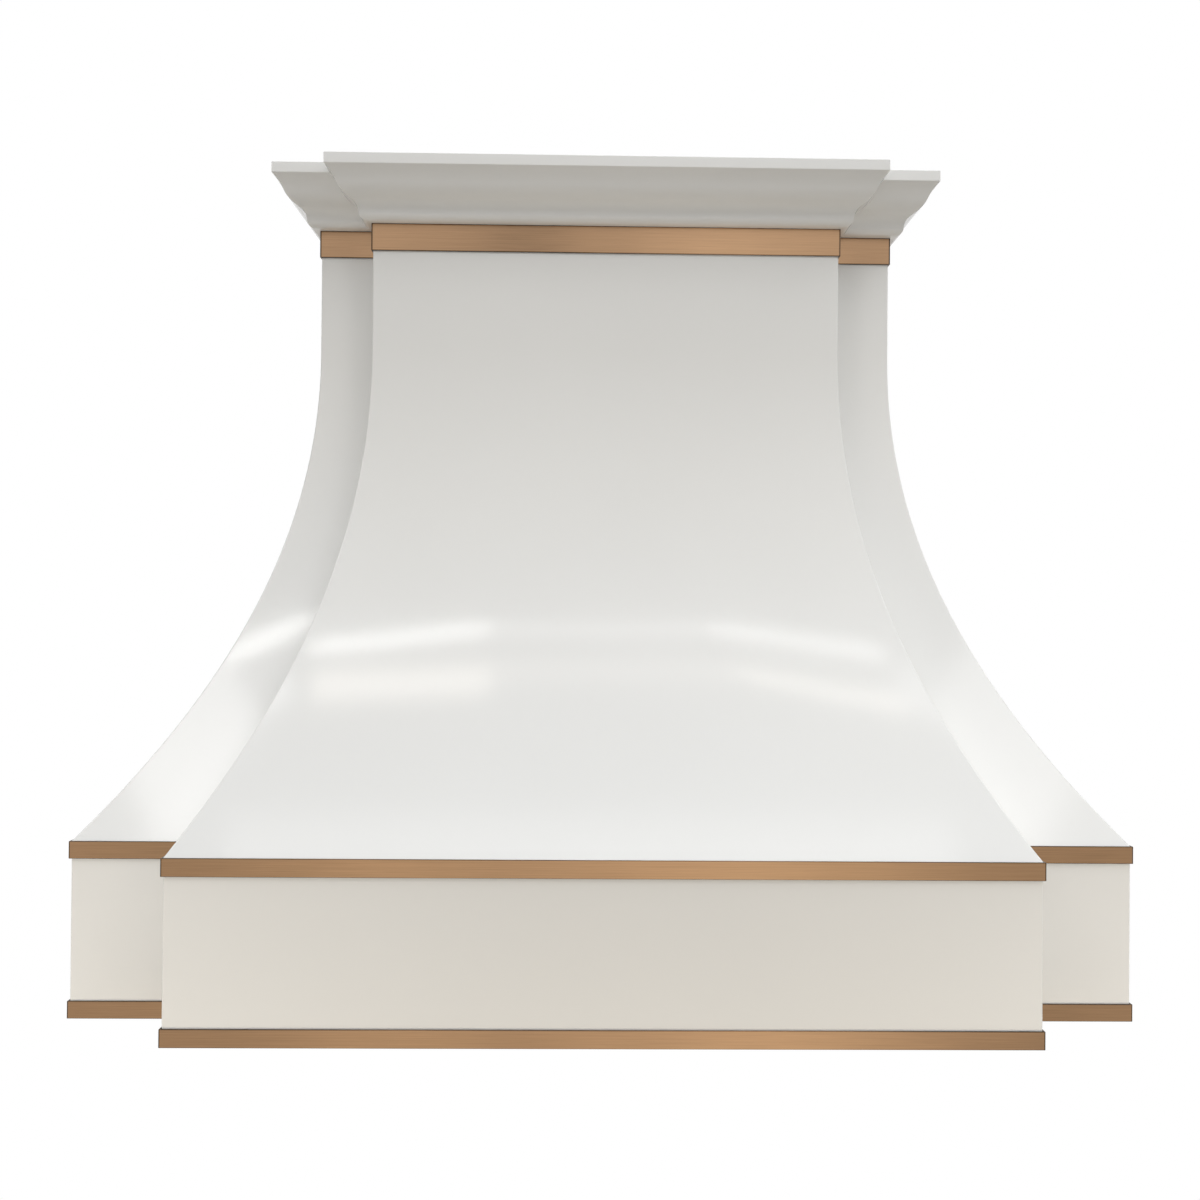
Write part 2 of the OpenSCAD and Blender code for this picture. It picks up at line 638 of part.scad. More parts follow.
module filter_handle(i) color("silver") translate([filter_x(i) + filter_w / 2, -filter_front + frame_lip / 2, base_z + liner_h]) union() {
    for (s = [-1, 1]) translate([s * handle_l / 2, 0, -handle_drop]) {
        cylinder(h = handle_drop, r = handle_r);
        sphere(r = handle_r);
    }
    translate([0, 0, -handle_drop]) x_rod(-handle_l / 2, handle_l, handle_r);
}

module filter_hinge_ears() color("gray") for (i = [0:3]) difference() {
    box((i - 1.5) * filter_pitch - ear_t / 2, (i - 1.5) * filter_pitch + ear_t / 2,
        stud_y - ear_d / 2, stud_y + ear_d / 2, liner_top_h, liner_top_h + ear_h);
    translate([0, stud_y, base_z + stud_h]) x_rod((i - 1.5) * filter_pitch - ear_t, 2 * ear_t, stud_r + run_gap);
}

module filter_magnets() color("dimgray") for (i = [0:2])
    box(filter_x(i) + (filter_w - magnet_l) / 2, filter_x(i) + (filter_w + magnet_l) / 2,
        -plenum_in_front, -plenum_in_front + magnet_s + filter_front_gap,
        liner_h + filter_t + seat_gap, liner_h + filter_t + seat_gap + magnet_s);

module scroll_wrap() color("silver") axis_extrude(-scroll_in_w / 2, scroll_in_w)
    polygon(ring_between(scroll_line(0), scroll_line(scroll_t)));

// The scroll's side with its inlet and its fixing tabs under the plenum's top
module scroll_side(s) color("silver") difference() {
    union() {
        axis_extrude(s > 0 ? scroll_in_w / 2 : -scroll_in_w / 2 - scroll_t, scroll_t) polygon(scroll_line(scroll_t));
        for (p = blower_bolt_places) if (s * p[0] > 0)
            box(p[0] - tab_w / 2, p[0] + tab_w / 2, p[1] - tab_w / 2, p[1] + tab_w / 2,
                plenum_top_h - scroll_t, plenum_top_h);
    }
    translate([0, axis_y, base_z + axis_h]) x_rod(-scroll_in_w, 2 * scroll_in_w, inlet_r);
    blower_bolt_holes();
}

// Two end rings and the middle plate, which the blades join on both sides
module impeller_wheel() color("lightgray") union() {
    for (x = [-wheel_l / 2, wheel_l / 2 - ring_t]) axis_extrude(x, ring_t) difference() {
        circle(r = wheel_r);
        circle(r = wheel_in_r);
    }
    axis_extrude(0, web_t) difference() {
        circle(r = wheel_r);
        circle(r = hub_r);
    }
}

module impeller_blades() color("silver") for (x = [[-blade_l, 0], [web_t, blade_l]]) axis_extrude(x[0], x[1] - x[0])
    for (k = [0:blade_count - 1]) rotate(k * 360 / blade_count) translate([wheel_in_r, 0]) rotate(blade_tilt) square([blade_w, blade_t]);

module impeller_hub() color("gray") difference() {
    union() {
        axis_extrude(web_t - hub_l / 2, hub_l) circle(r = hub_r);
        axis_extrude(web_t, ring_t) circle(r = hub_flange_r);
    }
    axis_extrude(-hub_l, 3 * hub_l) circle(r = shaft_r);
}

module motor_shaft() color("silver") axis_extrude(motor_x, web_t + hub_l / 2 - motor_x) circle(r = shaft_r);

module motor_housing() color("gray") difference() {
    axis_extrude(motor_x, motor_l) circle(r = motor_r);
    axis_extrude(motor_x - over, motor_l + 2 * over) circle(r = shaft_r + core_gap);
    for (x = [motor_x - over, motor_x + motor_l - bearing_l]) axis_extrude(x, bearing_l + over) circle(r = bearing_r);
}

module motor_bearings() color("silver") for (x = [motor_x, motor_x + motor_l - bearing_l]) axis_extrude(x, bearing_l) difference() {
    circle(r = bearing_r);
    circle(r = shaft_r + run_gap);
}

// A band round the motor and three arms that reach past the left inlet's edge
module motor_bracket() color("dimgray") axis_extrude(-scroll_in_w / 2 - scroll_t - bracket_t, bracket_t) difference() {
    union() {
        circle(r = motor_r + bracket_t);
        for (a = [30, 150, 270]) rotate(a) translate([0, -arm_w / 2]) square([inlet_r + arm_w / 2, arm_w]);
    }
    circle(r = motor_r);
}

module blower_bolts() color("dimgray") for (p = blower_bolt_places) translate([p[0], p[1], base_z + plenum_top_h]) union() {
    translate([0, 0, liner_t]) cylinder(h = bolt_head_h, r = bolt_head_r, $fn = 6);
    translate([0, 0, -scroll_t - bolt_tail]) cylinder(h = scroll_t + bolt_tail + liner_t, r = blower_bolt_r);
}

module duct_disc(h, t, r) translate([0, -duct_y, base_z + h]) cylinder(h = t, r = r);

module outlet_box() color("silver") difference() {
    box(-box_w / 2, box_w / 2, -duct_y - box_w / 2, -duct_y + box_w / 2, box_base_h, collar_base_h);
    box(-box_w / 2 + duct_t, box_w / 2 - duct_t, -duct_y - box_w / 2 + duct_t, -duct_y + box_w / 2 - duct_t,
        box_base_h - over, collar_base_h - duct_t);
    duct_disc(collar_base_h - 2 * duct_t, 3 * duct_t, collar_in_r);
}

module duct_collar() color("silver") difference() {
    union() {
        duct_disc(collar_base_h, collar_h, collar_r);
        duct_disc(collar_base_h, duct_t, collar_r + collar_foot);
    }
    duct_disc(collar_base_h - over, collar_h + 2 * over, collar_in_r);
    translate([0, -duct_y, base_z + rod_h]) x_rod(-collar_r - over, 2 * collar_r + 2 * over, rod_r);
}

// Two half rings, because the rod passes between them
module damper_stop_ring() color("gray") difference() {
    duct_disc(rod_h - flap_t / 2 - seat_gap - duct_t, duct_t, collar_in_r);
    duct_disc(rod_h - 4 * flap_t - duct_t, 8 * flap_t + duct_t, collar_in_r - stop_w);
    translate([0, -duct_y, base_z + rod_h]) x_rod(-collar_r, 2 * collar_r, rod_r + seat_gap);
}

// The rod ends within the collar's wall, so that a duct slides over it
module damper_rod() color("silver") translate([0, -duct_y, base_z + rod_h])
    x_rod(-collar_r + duct_t / 2, 2 * collar_r - duct_t, rod_r);

// A half disc with two knuckles round the rod; the flaps' knuckles take turns along it
module damper_flap(s) color("lightgray") translate([0, -duct_y, base_z + rod_h]) mirror([0, s > 0 ? 0 : 1, 0]) {
    first = s > 0 ? 0 : 1;
    difference() {
        union() {
            intersection() {
                translate([0, 0, -flap_t / 2]) cylinder(h = flap_t, r = flap_r);
                translate([-flap_r, flap_root, -flap_t]) cube([2 * flap_r, flap_r, 2 * flap_t]);
            }
            for (x = [for (k = [first, first + 2]) (k - 2) * (knuckle_l + knuckle_gap) + knuckle_gap / 2]) {
                x_rod(x, knuckle_l, knuckle_r);
                translate([x, 0, -flap_t / 2]) cube([knuckle_l, flap_root + over, flap_t]);
            }
        }
        x_rod(-flap_r, 2 * flap_r, rod_r + run_gap);
    }
}

module junction_prism(wall, h0, h1) box(-junction_x - junction_l / 2 + wall, -junction_x + junction_l / 2 - wall,
    -junction_y - junction_d + wall, -junction_y - wall, box_base_h + h0, box_base_h + h1);

module junction_box() color("silver") difference() {
    junction_prism(0, 0, junction_h - junction_wall);
    junction_prism(junction_wall, junction_wall, junction_h);
}

module junction_lid() color("silver") difference() {
    junction_prism(0, junction_h - junction_wall, junction_h);
    translate([-junction_x, -junction_y - junction_d / 2, base_z + box_base_h + junction_h - 2 * junction_wall])
        cylinder(h = 3 * junction_wall, r = gland_thread_r);
}

module cable_gland() color("dimgray") translate([-junction_x, -junction_y - junction_d / 2, base_z + box_base_h + junction_h]) difference() {
    union() {
        translate([0, 0, -junction_wall - gland_tail]) cylinder(h = gland_l + junction_wall + gland_tail, r = gland_thread_r);
        cylinder(h = gland_nut_h, r = gland_nut_r, $fn = 6);
    }
    translate([0, 0, -junction_wall - gland_tail - over])
        cylinder(h = gland_l + junction_wall + gland_tail + 2 * over, r = gland_r);
}

module motor_capacitor() color("white") translate([junction_x, -junction_y - junction_d / 2, base_z + box_base_h])
    cylinder(h = capacitor_l, r = capacitor_r);

module panel_button_holes(r, h0, h1) for (x = button_x) translate([x, panel_y, base_z + h0]) cylinder(h = h1 - h0, r = r);

module control_panel() color("black") difference() {
    box(-panel_l / 2, panel_l / 2, panel_y - panel_d / 2, panel_y + panel_d / 2, liner_h - panel_t, liner_h);
    panel_button_holes(button_r + button_gap, liner_h - panel_t - over, liner_h + over);
}

// A closed housing above the liner; each button's stem slides in a boss of its roof
switch_base_h = liner_top_h;
switch_roof_h = liner_top_h + switch_h - stem_boss;
module switch_housing() color("dimgray") difference() {
    box(-panel_l / 2, panel_l / 2, panel_y - panel_d / 2, panel_y + panel_d / 2, switch_base_h, switch_base_h + switch_h);
    panel_slot(switch_base_h - over, switch_roof_h);
    panel_button_holes(stem_r + run_gap, switch_roof_h - over, switch_base_h + switch_h - switch_wall);
}

// A cap with a collar behind the panel that keeps it in, and a stem
module push_button(i) color("silver") translate([button_x[i - 1], panel_y, base_z + liner_h]) union() {
    translate([0, 0, -panel_t - button_out]) cylinder(h = panel_t + button_out + seat_gap, r = button_r);
    translate([0, 0, seat_gap]) cylinder(h = button_travel, r = button_r + button_lip);
    cylinder(h = liner_t + switch_h - switch_wall - 2 * button_travel, r = stem_r);
}

module lamp_part(x) translate([x, -lamp_y, base_z + liner_h]) children();

module lamp_bezels() color("silver") for (x = lamp_x) lamp_part(x) difference() {
    translate([0, 0, -bezel_t]) cylinder(h = bezel_t, r = lamp_r + bezel_w);
    translate([0, 0, -bezel_t - over]) cylinder(h = bezel_t + 2 * over, r = lamp_r - bezel_lap - over);
}

module lamp_lenses() color("lightyellow") for (x = lamp_x) lamp_part(x) cylinder(h = lens_t, r = lamp_r - lamp_wall - seat_gap);

module lamp_housings() color("gray") for (x = lamp_x) lamp_part(x) difference() {
    cylinder(h = lamp_h, r = lamp_r);
    translate([0, 0, -over]) cylinder(h = lens_t + over, r = lamp_r - lamp_wall);
    translate([0, 0, -over]) cylinder(h = lamp_hollow + over, r = lamp_r - bezel_lap - over);
}

// The loom lies on the plenum's top and front wall and on the liner, from the junction box to the switches
loom_x = -box_w / 2 - 2 * loom_r;
loom_y = -plenum_in_front - liner_t - loom_r - seat_gap;
loom_upper_h = box_base_h + loom_r + seat_gap;
loom_lower_h = liner_top_h + liner_t + loom_r + seat_gap;
loom_route = [
    [-junction_x + junction_l / 2, -junction_y - junction_d / 2, loom_upper_h],
    [loom_x, -junction_y - junction_d / 2, loom_upper_h],
    [loom_x, loom_y, loom_upper_h],
    [loom_x, loom_y, loom_lower_h],
    [loom_x, panel_y, loom_lower_h],
    [-panel_l / 2, panel_y, loom_lower_h]];

module rod_between(a, b) {
    d = b - a;
    translate(a) rotate([0, acos(d[2] / norm(d)), atan2(d[1], d[0])]) cylinder(h = norm(d), r = loom_r);
}

module wiring_loom() color("black") translate([0, 0, base_z]) union() {
    for (i = [0:len(loom_route) - 2]) rod_between(loom_route[i], loom_route[i + 1]);
    for (i = [1:len(loom_route) - 2]) translate(loom_route[i]) sphere(r = loom_r);
}

bay_front_panel();
mirror([1, 0, 0]) bay_return();  // bay_return_left
bay_return();  // bay_return_right
mirror([1, 0, 0]) wing_front();  // wing_front_left
wing_front();  // wing_front_right
mirror([1, 0, 0]) side_panel();  // side_panel_left
side_panel();  // side_panel_right
apron_panel();
apron_band(apron_h - apron_band_h);  // apron_band_upper
apron_band(0);  // apron_band_lower
top_band();
crown_moulding();
wall_rail(low_row_h + bolt_rows, neck_w / 2 - skin);  // hanging_rail
wall_rail(low_row_h, shell_w / 2 - skin);  // lower_rail
liner_ledge();
liner_pan();
liner_screws();
plenum_box();
filter_frame(0);  // filter_frame_left
filter_frame(1);  // filter_frame_centre
filter_frame(2);  // filter_frame_right
baffle_slats(0);  // baffle_slats_left
baffle_slats(1);  // baffle_slats_centre
baffle_slats(2);  // baffle_slats_right
filter_handle(0);  // filter_handle_left
filter_handle(1);  // filter_handle_centre
filter_handle(2);  // filter_handle_right
filter_hinge_ears();
filter_magnets();
scroll_wrap();
scroll_side(-1);  // scroll_side_left
scroll_side(1);  // scroll_side_right
impeller_wheel();
impeller_blades();
impeller_hub();
motor_shaft();
motor_housing();
motor_bearings();
motor_bracket();
blower_bolts();
outlet_box();
duct_collar();
damper_stop_ring();
damper_rod();
damper_flap(-1);  // damper_flap_front
damper_flap(1);  // damper_flap_rear
junction_box();
junction_lid();
cable_gland();
motor_capacitor();
control_panel();
switch_housing();
push_button(1);  // push_button_1
push_button(2);  // push_button_2
push_button(3);  // push_button_3
push_button(4);  // push_button_4
lamp_bezels();
lamp_lenses();
lamp_housings();
wiring_loom();
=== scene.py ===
"""Wall-hung range hood: a swept white shell with a stepped bay, brushed copper bands and a crown moulding."""
import json
import logging
import math
from dataclasses import dataclass, field
from enum import Enum
from typing import Callable, Mapping, Sequence, Union

import bmesh
import bpy
from mathutils import Matrix, Vector


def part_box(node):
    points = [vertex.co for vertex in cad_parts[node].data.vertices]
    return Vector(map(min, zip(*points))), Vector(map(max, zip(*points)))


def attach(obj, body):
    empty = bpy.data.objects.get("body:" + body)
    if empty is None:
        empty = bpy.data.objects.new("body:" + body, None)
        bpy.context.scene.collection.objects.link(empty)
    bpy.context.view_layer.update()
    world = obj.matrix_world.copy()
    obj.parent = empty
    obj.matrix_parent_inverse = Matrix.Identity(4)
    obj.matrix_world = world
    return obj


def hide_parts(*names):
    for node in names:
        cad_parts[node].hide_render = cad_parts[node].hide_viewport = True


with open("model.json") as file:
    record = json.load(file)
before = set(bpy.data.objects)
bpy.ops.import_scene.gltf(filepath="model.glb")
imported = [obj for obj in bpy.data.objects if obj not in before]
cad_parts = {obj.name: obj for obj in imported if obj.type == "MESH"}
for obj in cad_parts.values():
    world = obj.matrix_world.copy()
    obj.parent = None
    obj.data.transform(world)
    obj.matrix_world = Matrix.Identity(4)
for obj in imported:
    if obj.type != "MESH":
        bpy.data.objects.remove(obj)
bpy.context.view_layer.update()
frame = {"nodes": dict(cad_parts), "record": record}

logging.basicConfig(level=logging.INFO, format="%(levelname)s %(message)s")
LOG = logging.getLogger("range_hood")

Colour = tuple[float, float, float, float]
Flat = tuple[float, float]
Spot = tuple[float, float, float]
Piece = bpy.types.Object
Operand = Union["Signal", int, float]
BASE = -0.530
RIGHT = Vector((1.0, 0.0, 0.0))
FRONT = Vector((0.0, -1.0, 0.0))
UP = Vector((0.0, 0.0, 1.0))
SMOOTH_ANGLE = math.radians(40.0)
CLOSE = 1e-5


def z(height: float) -> float:
    """Turns a height above the bottom edge into the frame's Z."""
    return BASE + height


def lifted(point: Sequence[float]) -> Vector:
    """Turns X, Y and a height above the bottom edge into a place in the frame."""
    return Vector((point[0], point[1], z(point[2])))


def tint(red: int, green: int, blue: int) -> Colour:
    """Turns a colour of 0 to 255 per channel into the renderer's linear colour.

    Args:
        red: Red of 0 to 255.
        green: Green of 0 to 255.
        blue: Blue of 0 to 255.

    Returns:
        The linear colour, opaque.
    """
    def linear(part: int) -> float:
        """One channel in linear light."""
        value = part / 255
        return value / 12.92 if value <= 0.04045 else ((value + 0.055) / 1.055) ** 2.4
    return (linear(red), linear(green), linear(blue), 1.0)


def shade(colour: Colour, factor: float, lift: float = 0.0) -> Colour:
    """Makes a colour darker or lighter by a factor and a lift, up to white."""
    return (*(min(part * factor + lift, 1.0) for part in colour[:3]), 1.0)


class Signal:
    """A shader socket whose arithmetic adds Math nodes to its graph."""

    def __init__(self, graph: "Graph", socket: bpy.types.NodeSocket) -> None:
        """Keeps the graph and the socket."""
        self.graph, self.socket = graph, socket

    def _math(self, operation: str, *operands: Operand) -> "Signal":
        """Adds one Math node for an operation on the operands."""
        return self.graph.add("ShaderNodeMath", {"operation": operation}, dict(enumerate(operands)))

    def __add__(self, other: Operand) -> "Signal":
        """Sum."""
        return self._math("ADD", self, other)

    __radd__ = __add__

    def __sub__(self, other: Operand) -> "Signal":
        """Difference."""
        return self._math("SUBTRACT", self, other)

    def __rsub__(self, other: Operand) -> "Signal":
        """Difference from a number."""
        return self._math("SUBTRACT", other, self)

    def __mul__(self, other: Operand) -> "Signal":
        """Product."""
        return self._math("MULTIPLY", self, other)

    __rmul__ = __mul__

    def __truediv__(self, other: Operand) -> "Signal":
        """Quotient."""
        return self._math("DIVIDE", self, other)

    def __rtruediv__(self, other: Operand) -> "Signal":
        """Quotient of a number."""
        return self._math("DIVIDE", other, self)

    def __pow__(self, other: Operand) -> "Signal":
        """Power."""
        return self._math("POWER", self, other)

    def __abs__(self) -> "Signal":
        """Size without its sign."""
        return self._math("ABSOLUTE", self)

    def most(self, other: Operand) -> "Signal":
        """The larger of two values."""
        return self._math("MAXIMUM", self, other)

    def step(self, low: float, high: float) -> "Signal":
        """Rises smoothly from 0 at low to 1 at high."""
        return self.graph.add("ShaderNodeMapRange", {"interpolation_type": "SMOOTHSTEP"},
                              {"Value": self, "From Min": low, "From Max": high})


class Graph:
    """A node tree, for a material built around one Principled shader."""

    def __init__(self, name: str) -> None:
        """Starts a material with its shader wired to the output.

        Args:
            name: The material's name.
        """
        self.material = bpy.data.materials.new(name)
        self.material.use_nodes = True
        self.tree = self.material.node_tree
        self.shader = self.tree.nodes["Principled BSDF"]

    @classmethod
    def on(cls, tree: bpy.types.NodeTree) -> "Graph":
        """Takes up a tree that has no Principled shader.

        Args:
            tree: The node tree.

        Returns:
            A graph on the tree.
        """
        graph = cls.__new__(cls)
        graph.tree = tree
        return graph

    def add(self, kind: str, settings: Mapping[str, object] | None = None,
            sockets: Mapping[Union[str, int], object] | None = None, output: Union[str, int] = 0) -> Signal:
        """Adds a node.

        Args:
            kind: The node's type.
            settings: Its properties, set first.
            sockets: Values or signals for its inputs.
            output: Which output is wanted.

        Returns:
            The output as a signal.
        """
        node = self.tree.nodes.new(kind)
        for key, value in (settings or {}).items():
            setattr(node, key, value)
        for key, value in (sockets or {}).items():
            self.feed(node.inputs[key], value)
        outputs = node.outputs if isinstance(output, str) else [out for out in node.outputs if out.enabled]
        return Signal(self, outputs[output])

    def feed(self, socket: bpy.types.NodeSocket, value: object) -> None:
        """Links a signal to a socket, or sets the socket's value.

        Args:
            socket: An input of a node.
            value: A signal or a plain value.
        """
        if isinstance(value, Signal):
            self.tree.links.new(value.socket, socket)
        else:
            socket.default_value = value

    def drive(self, **values: object) -> None:
        """Feeds the shader's sockets, named with _ for a space."""
        for key, value in values.items():
            self.feed(self.shader.inputs[key.replace("_", " ")], value)

    def seen(self) -> Signal:
        """Tells rays that look from rays that light the object.

        Returns:
            1 for the rays of the camera, of gloss and of glass, and 0 for the others.
        """
        rays = self.add("ShaderNodeLightPath").socket.node.outputs
        camera, gloss, glass = (Signal(self, rays[f"Is {kind} Ray"]) for kind in ("Camera", "Glossy", "Transmission"))
        return camera.most(gloss).most(glass)

    def place(self) -> tuple[Signal, Signal, Signal]:
        """Reads the object coordinates.

        Returns:
            X, Y and Z in metres.
        """
        spot = self.add("ShaderNodeTexCoord", output="Object")
        outs = self.add("ShaderNodeSeparateXYZ", sockets={0: spot}).socket.node.outputs
        return Signal(self, outs[0]), Signal(self, outs[1]), Signal(self, outs[2])

    def vector(self, *parts: Operand) -> Signal:
        """Joins three values to a vector."""
        return self.add("ShaderNodeCombineXYZ", sockets=dict(enumerate(parts)))

    def noise(self, vector: Signal, scale: float, detail: float = 2.0, roughness: float = 0.5) -> Signal:
        """Noise of 0 to 1 over a vector."""
        sockets = {"Vector": vector, "Scale": scale, "Detail": detail, "Roughness": roughness}
        return self.add("ShaderNodeTexNoise", sockets=sockets, output="Fac")

    def mix(self, factor: Signal, one: object, two: object) -> Signal:
        """Mixes two colours.

        Args:
            factor: Share of the second colour.
            one: First colour or signal.
            two: Second colour or signal.

        Returns:
            The mixed colour.
        """
        node = self.add("ShaderNodeMix", {"data_type": "RGBA"}, {"Factor": factor}).socket.node
        colours = [socket for socket in node.inputs if socket.type == "RGBA"]
        self.feed(colours[0], one)
        self.feed(colours[1], two)
        return Signal(self, next(out for out in node.outputs if out.type == "RGBA"))

    def bump(self, height: Signal, distance: float, strength: float) -> Signal:
        """Turns a height of 0 to 1 into a normal, with the depth in metres of a height of 1 and a share of it."""
        return self.add("ShaderNodeBump", sockets={"Height": height, "Distance": distance, "Strength": strength})


class Grain(Enum):
    """Axes along which a brushed or drawn surface runs."""

    LEVEL = (1.0, 1.0, 0.0)
    ACROSS = (1.0, 0.0, 0.0)
    DEPTH = (0.0, 1.0, 0.0)


@dataclass(frozen=True)
class Finish:
    """A surface finish for a material slot of the record. Each kind builds its own nodes in dress()."""

    name: str
    slot: str
    colour: Colour

    def dress(self, graph: Graph) -> None:
        """Sets the plain colour."""
        graph.drive(Base_Color=self.colour)

    def material(self) -> bpy.types.Material:
        """Builds the material once and gives it back from then on.

        Returns:
            The material.
        """
        known = bpy.data.materials.get(self.name)
        if known is not None:
            return known
        graph = Graph(self.name)
        self.dress(graph)
        return graph.material


@dataclass(frozen=True)
class PowderCoat(Finish):
    """Baked powder coat: a satin colour with a fine orange peel under a soft gloss.

    The gloss is all in the coat. The sheen is the specular level of the layer below it, which stays low. The
    spreads are how much the roughness varies with the peel and with slow unevenness.
    """

    roughness: float = 0.42
    gloss: float = 0.1
    sheen: float = 0.05
    peel: float = 0.000018
    peel_scale: float = 420.0
    tone: float = 0.992
    peel_spread: float = 0.03
    broad_spread: float = 0.02

    def dress(self, graph: Graph) -> None:
        """Builds the peel, its slight unevenness in gloss and a faint change of tone.

        Args:
            graph: The material's graph.
        """
        spot = graph.vector(*graph.place())
        peel = graph.noise(spot, self.peel_scale, 2.0, 0.45)
        broad = graph.noise(spot, 5.0, 1.0, 0.5)
        smoothest = self.roughness - (self.peel_spread + self.broad_spread) / 2
        graph.drive(Base_Color=graph.mix(broad.step(0.3, 0.75), self.colour, shade(self.colour, self.tone)),
                    Roughness=broad * self.broad_spread + smoothest + peel * self.peel_spread,
                    Coat_Weight=1.0, Coat_Roughness=self.gloss, Coat_IOR=1.5, IOR=1.5, Specular_IOR_Level=self.sheen,
                    Normal=graph.bump(peel, self.peel, 0.5))


@dataclass(frozen=True)
class BrushedMetal(Finish):
    """Metal with fine parallel scratches along its grain.

    fine is how many scratches a metre has across the grain. fade gives the distances from the middle between which
    the tone sinks, and the share that it sinks by: painted shade, darker towards the ends, where the metal
    reflects a darker room. Each painted reflection is a place along X, its width and its gain: a painted highlight
    where the gain is positive and a painted dark reflection where it is negative. rims are heights above the bottom
    edge, and corners plan points, where a dark line is painted as the shadow in the gap at the band's edges and
    mitres; the two fields after corners are the width of that painted shadow line and how much it darkens. reach
    bounds all changes of tone on a metal that has any of these. The streaks break up fine_breaks and broad_breaks
    times a metre along the grain, and the roughness varies by spread.
    """

    grain: Grain = Grain.LEVEL
    roughness: float = 0.3
    streak: float = 0.25
    fine: float = 1500.0
    depth: float = 0.000008
    lacquer: float = 0.0
    fade: tuple[float, ...] = ()
    painted_reflections: tuple[tuple[float, float, float], ...] = ()
    rims: tuple[float, ...] = ()
    corners: tuple[Flat, ...] = ()
    shadow_line: float = 0.0009
    shadow_line_depth: float = 0.6
    reach: float = 0.85
    fine_breaks: float = 14.0
    broad_breaks: float = 3.0
    spread: float = 0.1

    def painted_light(self, parts: Sequence[Signal], cloud: Signal) -> Signal | None:
        """Adds up the painted light: painted reflections, painted shade towards the ends and painted shadow lines.

        Args:
            parts: The three object coordinates.
            cloud: Broad noise that makes the fade uneven.

        Returns:
            The change as a share of the colour, or nothing where there is none.
        """
        x, y, height = parts
        changes = []
        # painted reflection: a bright or dark patch along X for what the metal reflects there
        for place, width, gain in self.painted_reflections:
            away = (x - place) / width
            changes.append(gain / (away * away + 1.0))
        # painted shade: the tone sinks towards the ends
        if self.fade:
            start, end, share = self.fade
            changes.append((abs(x) + (cloud - 0.5) * 0.06).step(start, end) * -share)
        # painted shadow: a dark line along each band edge, for the shadow in the gap there
        for rim in self.rims:
            changes.append((1.0 - abs(height - z(rim)).step(self.shadow_line * 0.4, self.shadow_line)) * -self.shadow_line_depth)
        # painted shadow: a dark line at each mitred corner
        for corner_x, corner_y in self.corners:
            off = abs(abs(x) - corner_x) + abs(y - corner_y)
            changes.append((1.0 - off.step(self.shadow_line, self.shadow_line * 2.0)) * -self.shadow_line_depth)
        return sum(changes[1:], changes[0]) if changes else None

    def dress(self, graph: Graph) -> None:
        """Builds streaks that run along the grain, in tone, gloss and height, and the painted light over them.

        Args:
            graph: The material's graph.
        """
        parts = graph.place()
        along, *rest = [part for share, part in zip(self.grain.value, parts) if share]
        along = sum(rest, along)
        across, *rest = [part for share, part in zip(self.grain.value, parts) if not share]
        across = sum(rest, across)
        fine = graph.noise(graph.vector(along * self.fine_breaks, across * self.fine, 0.0), 1.0, 3.0, 0.65)
        broad = graph.noise(graph.vector(along * self.broad_breaks, across * (self.fine * 0.3), 4.0), 1.0, 2.0, 0.6)
        cloud = graph.noise(graph.vector(*parts), 4.5, 2.0, 0.5)
        tone = fine * 0.5 + broad * 0.2 + cloud * 0.3
        change, reach = (tone.step(0.3, 0.7) * 2.0 - 1.0) * self.streak, self.streak
        # painted reflections, painted shade and painted shadow lines added to the tone
        painted_light = self.painted_light(parts, cloud)
        if painted_light is not None:
            change, reach = change + painted_light, self.reach
        low, high = shade(self.colour, 1.0 - reach), shade(self.colour, 1.0 + reach)
        graph.drive(Base_Color=graph.mix(change / (2.0 * reach) + 0.5, low, high), Metallic=1.0,
                    Roughness=(self.roughness + self.spread / 2) - tone * self.spread,
                    Coat_Weight=self.lacquer, Coat_Roughness=0.2,
                    Normal=graph.bump(fine * 0.7 + broad * 0.3, self.depth, 0.6))


@dataclass(frozen=True)
class ZincCoat(Finish):
    """Hot-dip galvanised sheet with its frosty crystals, whose outlines wobble."""

    spangle: float = 95.0
    roughness: float = 0.38
    spread: float = 0.16
    dark: float = 0.72
    wobbles: Spot = (0.006, 0.005, 0.004)

    def dress(self, graph: Graph) -> None:
        """Builds crystals as cells of differing tone and gloss.

        Args:
            graph: The material's graph.
        """
        x, y, height = graph.place()
        wobble = graph.noise(graph.vector(x, y, height), 60.0, 2.0, 0.5)
        spot = graph.vector(*(part + wobble * size for part, size in zip((x, y, height), self.wobbles)))
        cell = graph.add("ShaderNodeTexVoronoi", {"feature": "F1"}, {"Vector": spot, "Scale": self.spangle}, "Color")
        tone = graph.add("ShaderNodeSeparateColor", sockets={0: cell})
        graph.drive(Base_Color=graph.mix(tone, shade(self.colour, self.dark), self.colour), Metallic=1.0,
                    Roughness=tone * self.spread + (self.roughness - self.spread / 2),
                    Normal=graph.bump(tone, 0.00003, 0.25))


@dataclass(frozen=True)
class Moulded(Finish):
    """Moulded plastic, rubber or enamel with a fine grain."""

    roughness: float = 0.5
    grain_scale: float = 900.0
    grain_depth: float = 0.00002
    coat: float = 0.0
    fine_spread: float = 0.08
    broad_spread: float = 0.05

    def dress(self, graph: Graph) -> None:
        """Builds a fine grain in height and gloss.

        Args:
            graph: The material's graph.
        """
        spot = graph.vector(*graph.place())
        fine = graph.noise(spot, self.grain_scale, 2.0, 0.5)
        broad = graph.noise(spot, 30.0, 2.0, 0.5)
        smoothest = self.roughness - (self.fine_spread + self.broad_spread) / 2
        graph.drive(Base_Color=graph.mix(broad.step(0.35, 0.7), self.colour, shade(self.colour, 1.12, 0.002)),
                    Roughness=fine * self.fine_spread + broad * self.broad_spread + smoothest,
                    Coat_Weight=self.coat, Normal=graph.bump(fine, self.grain_depth, 0.5))


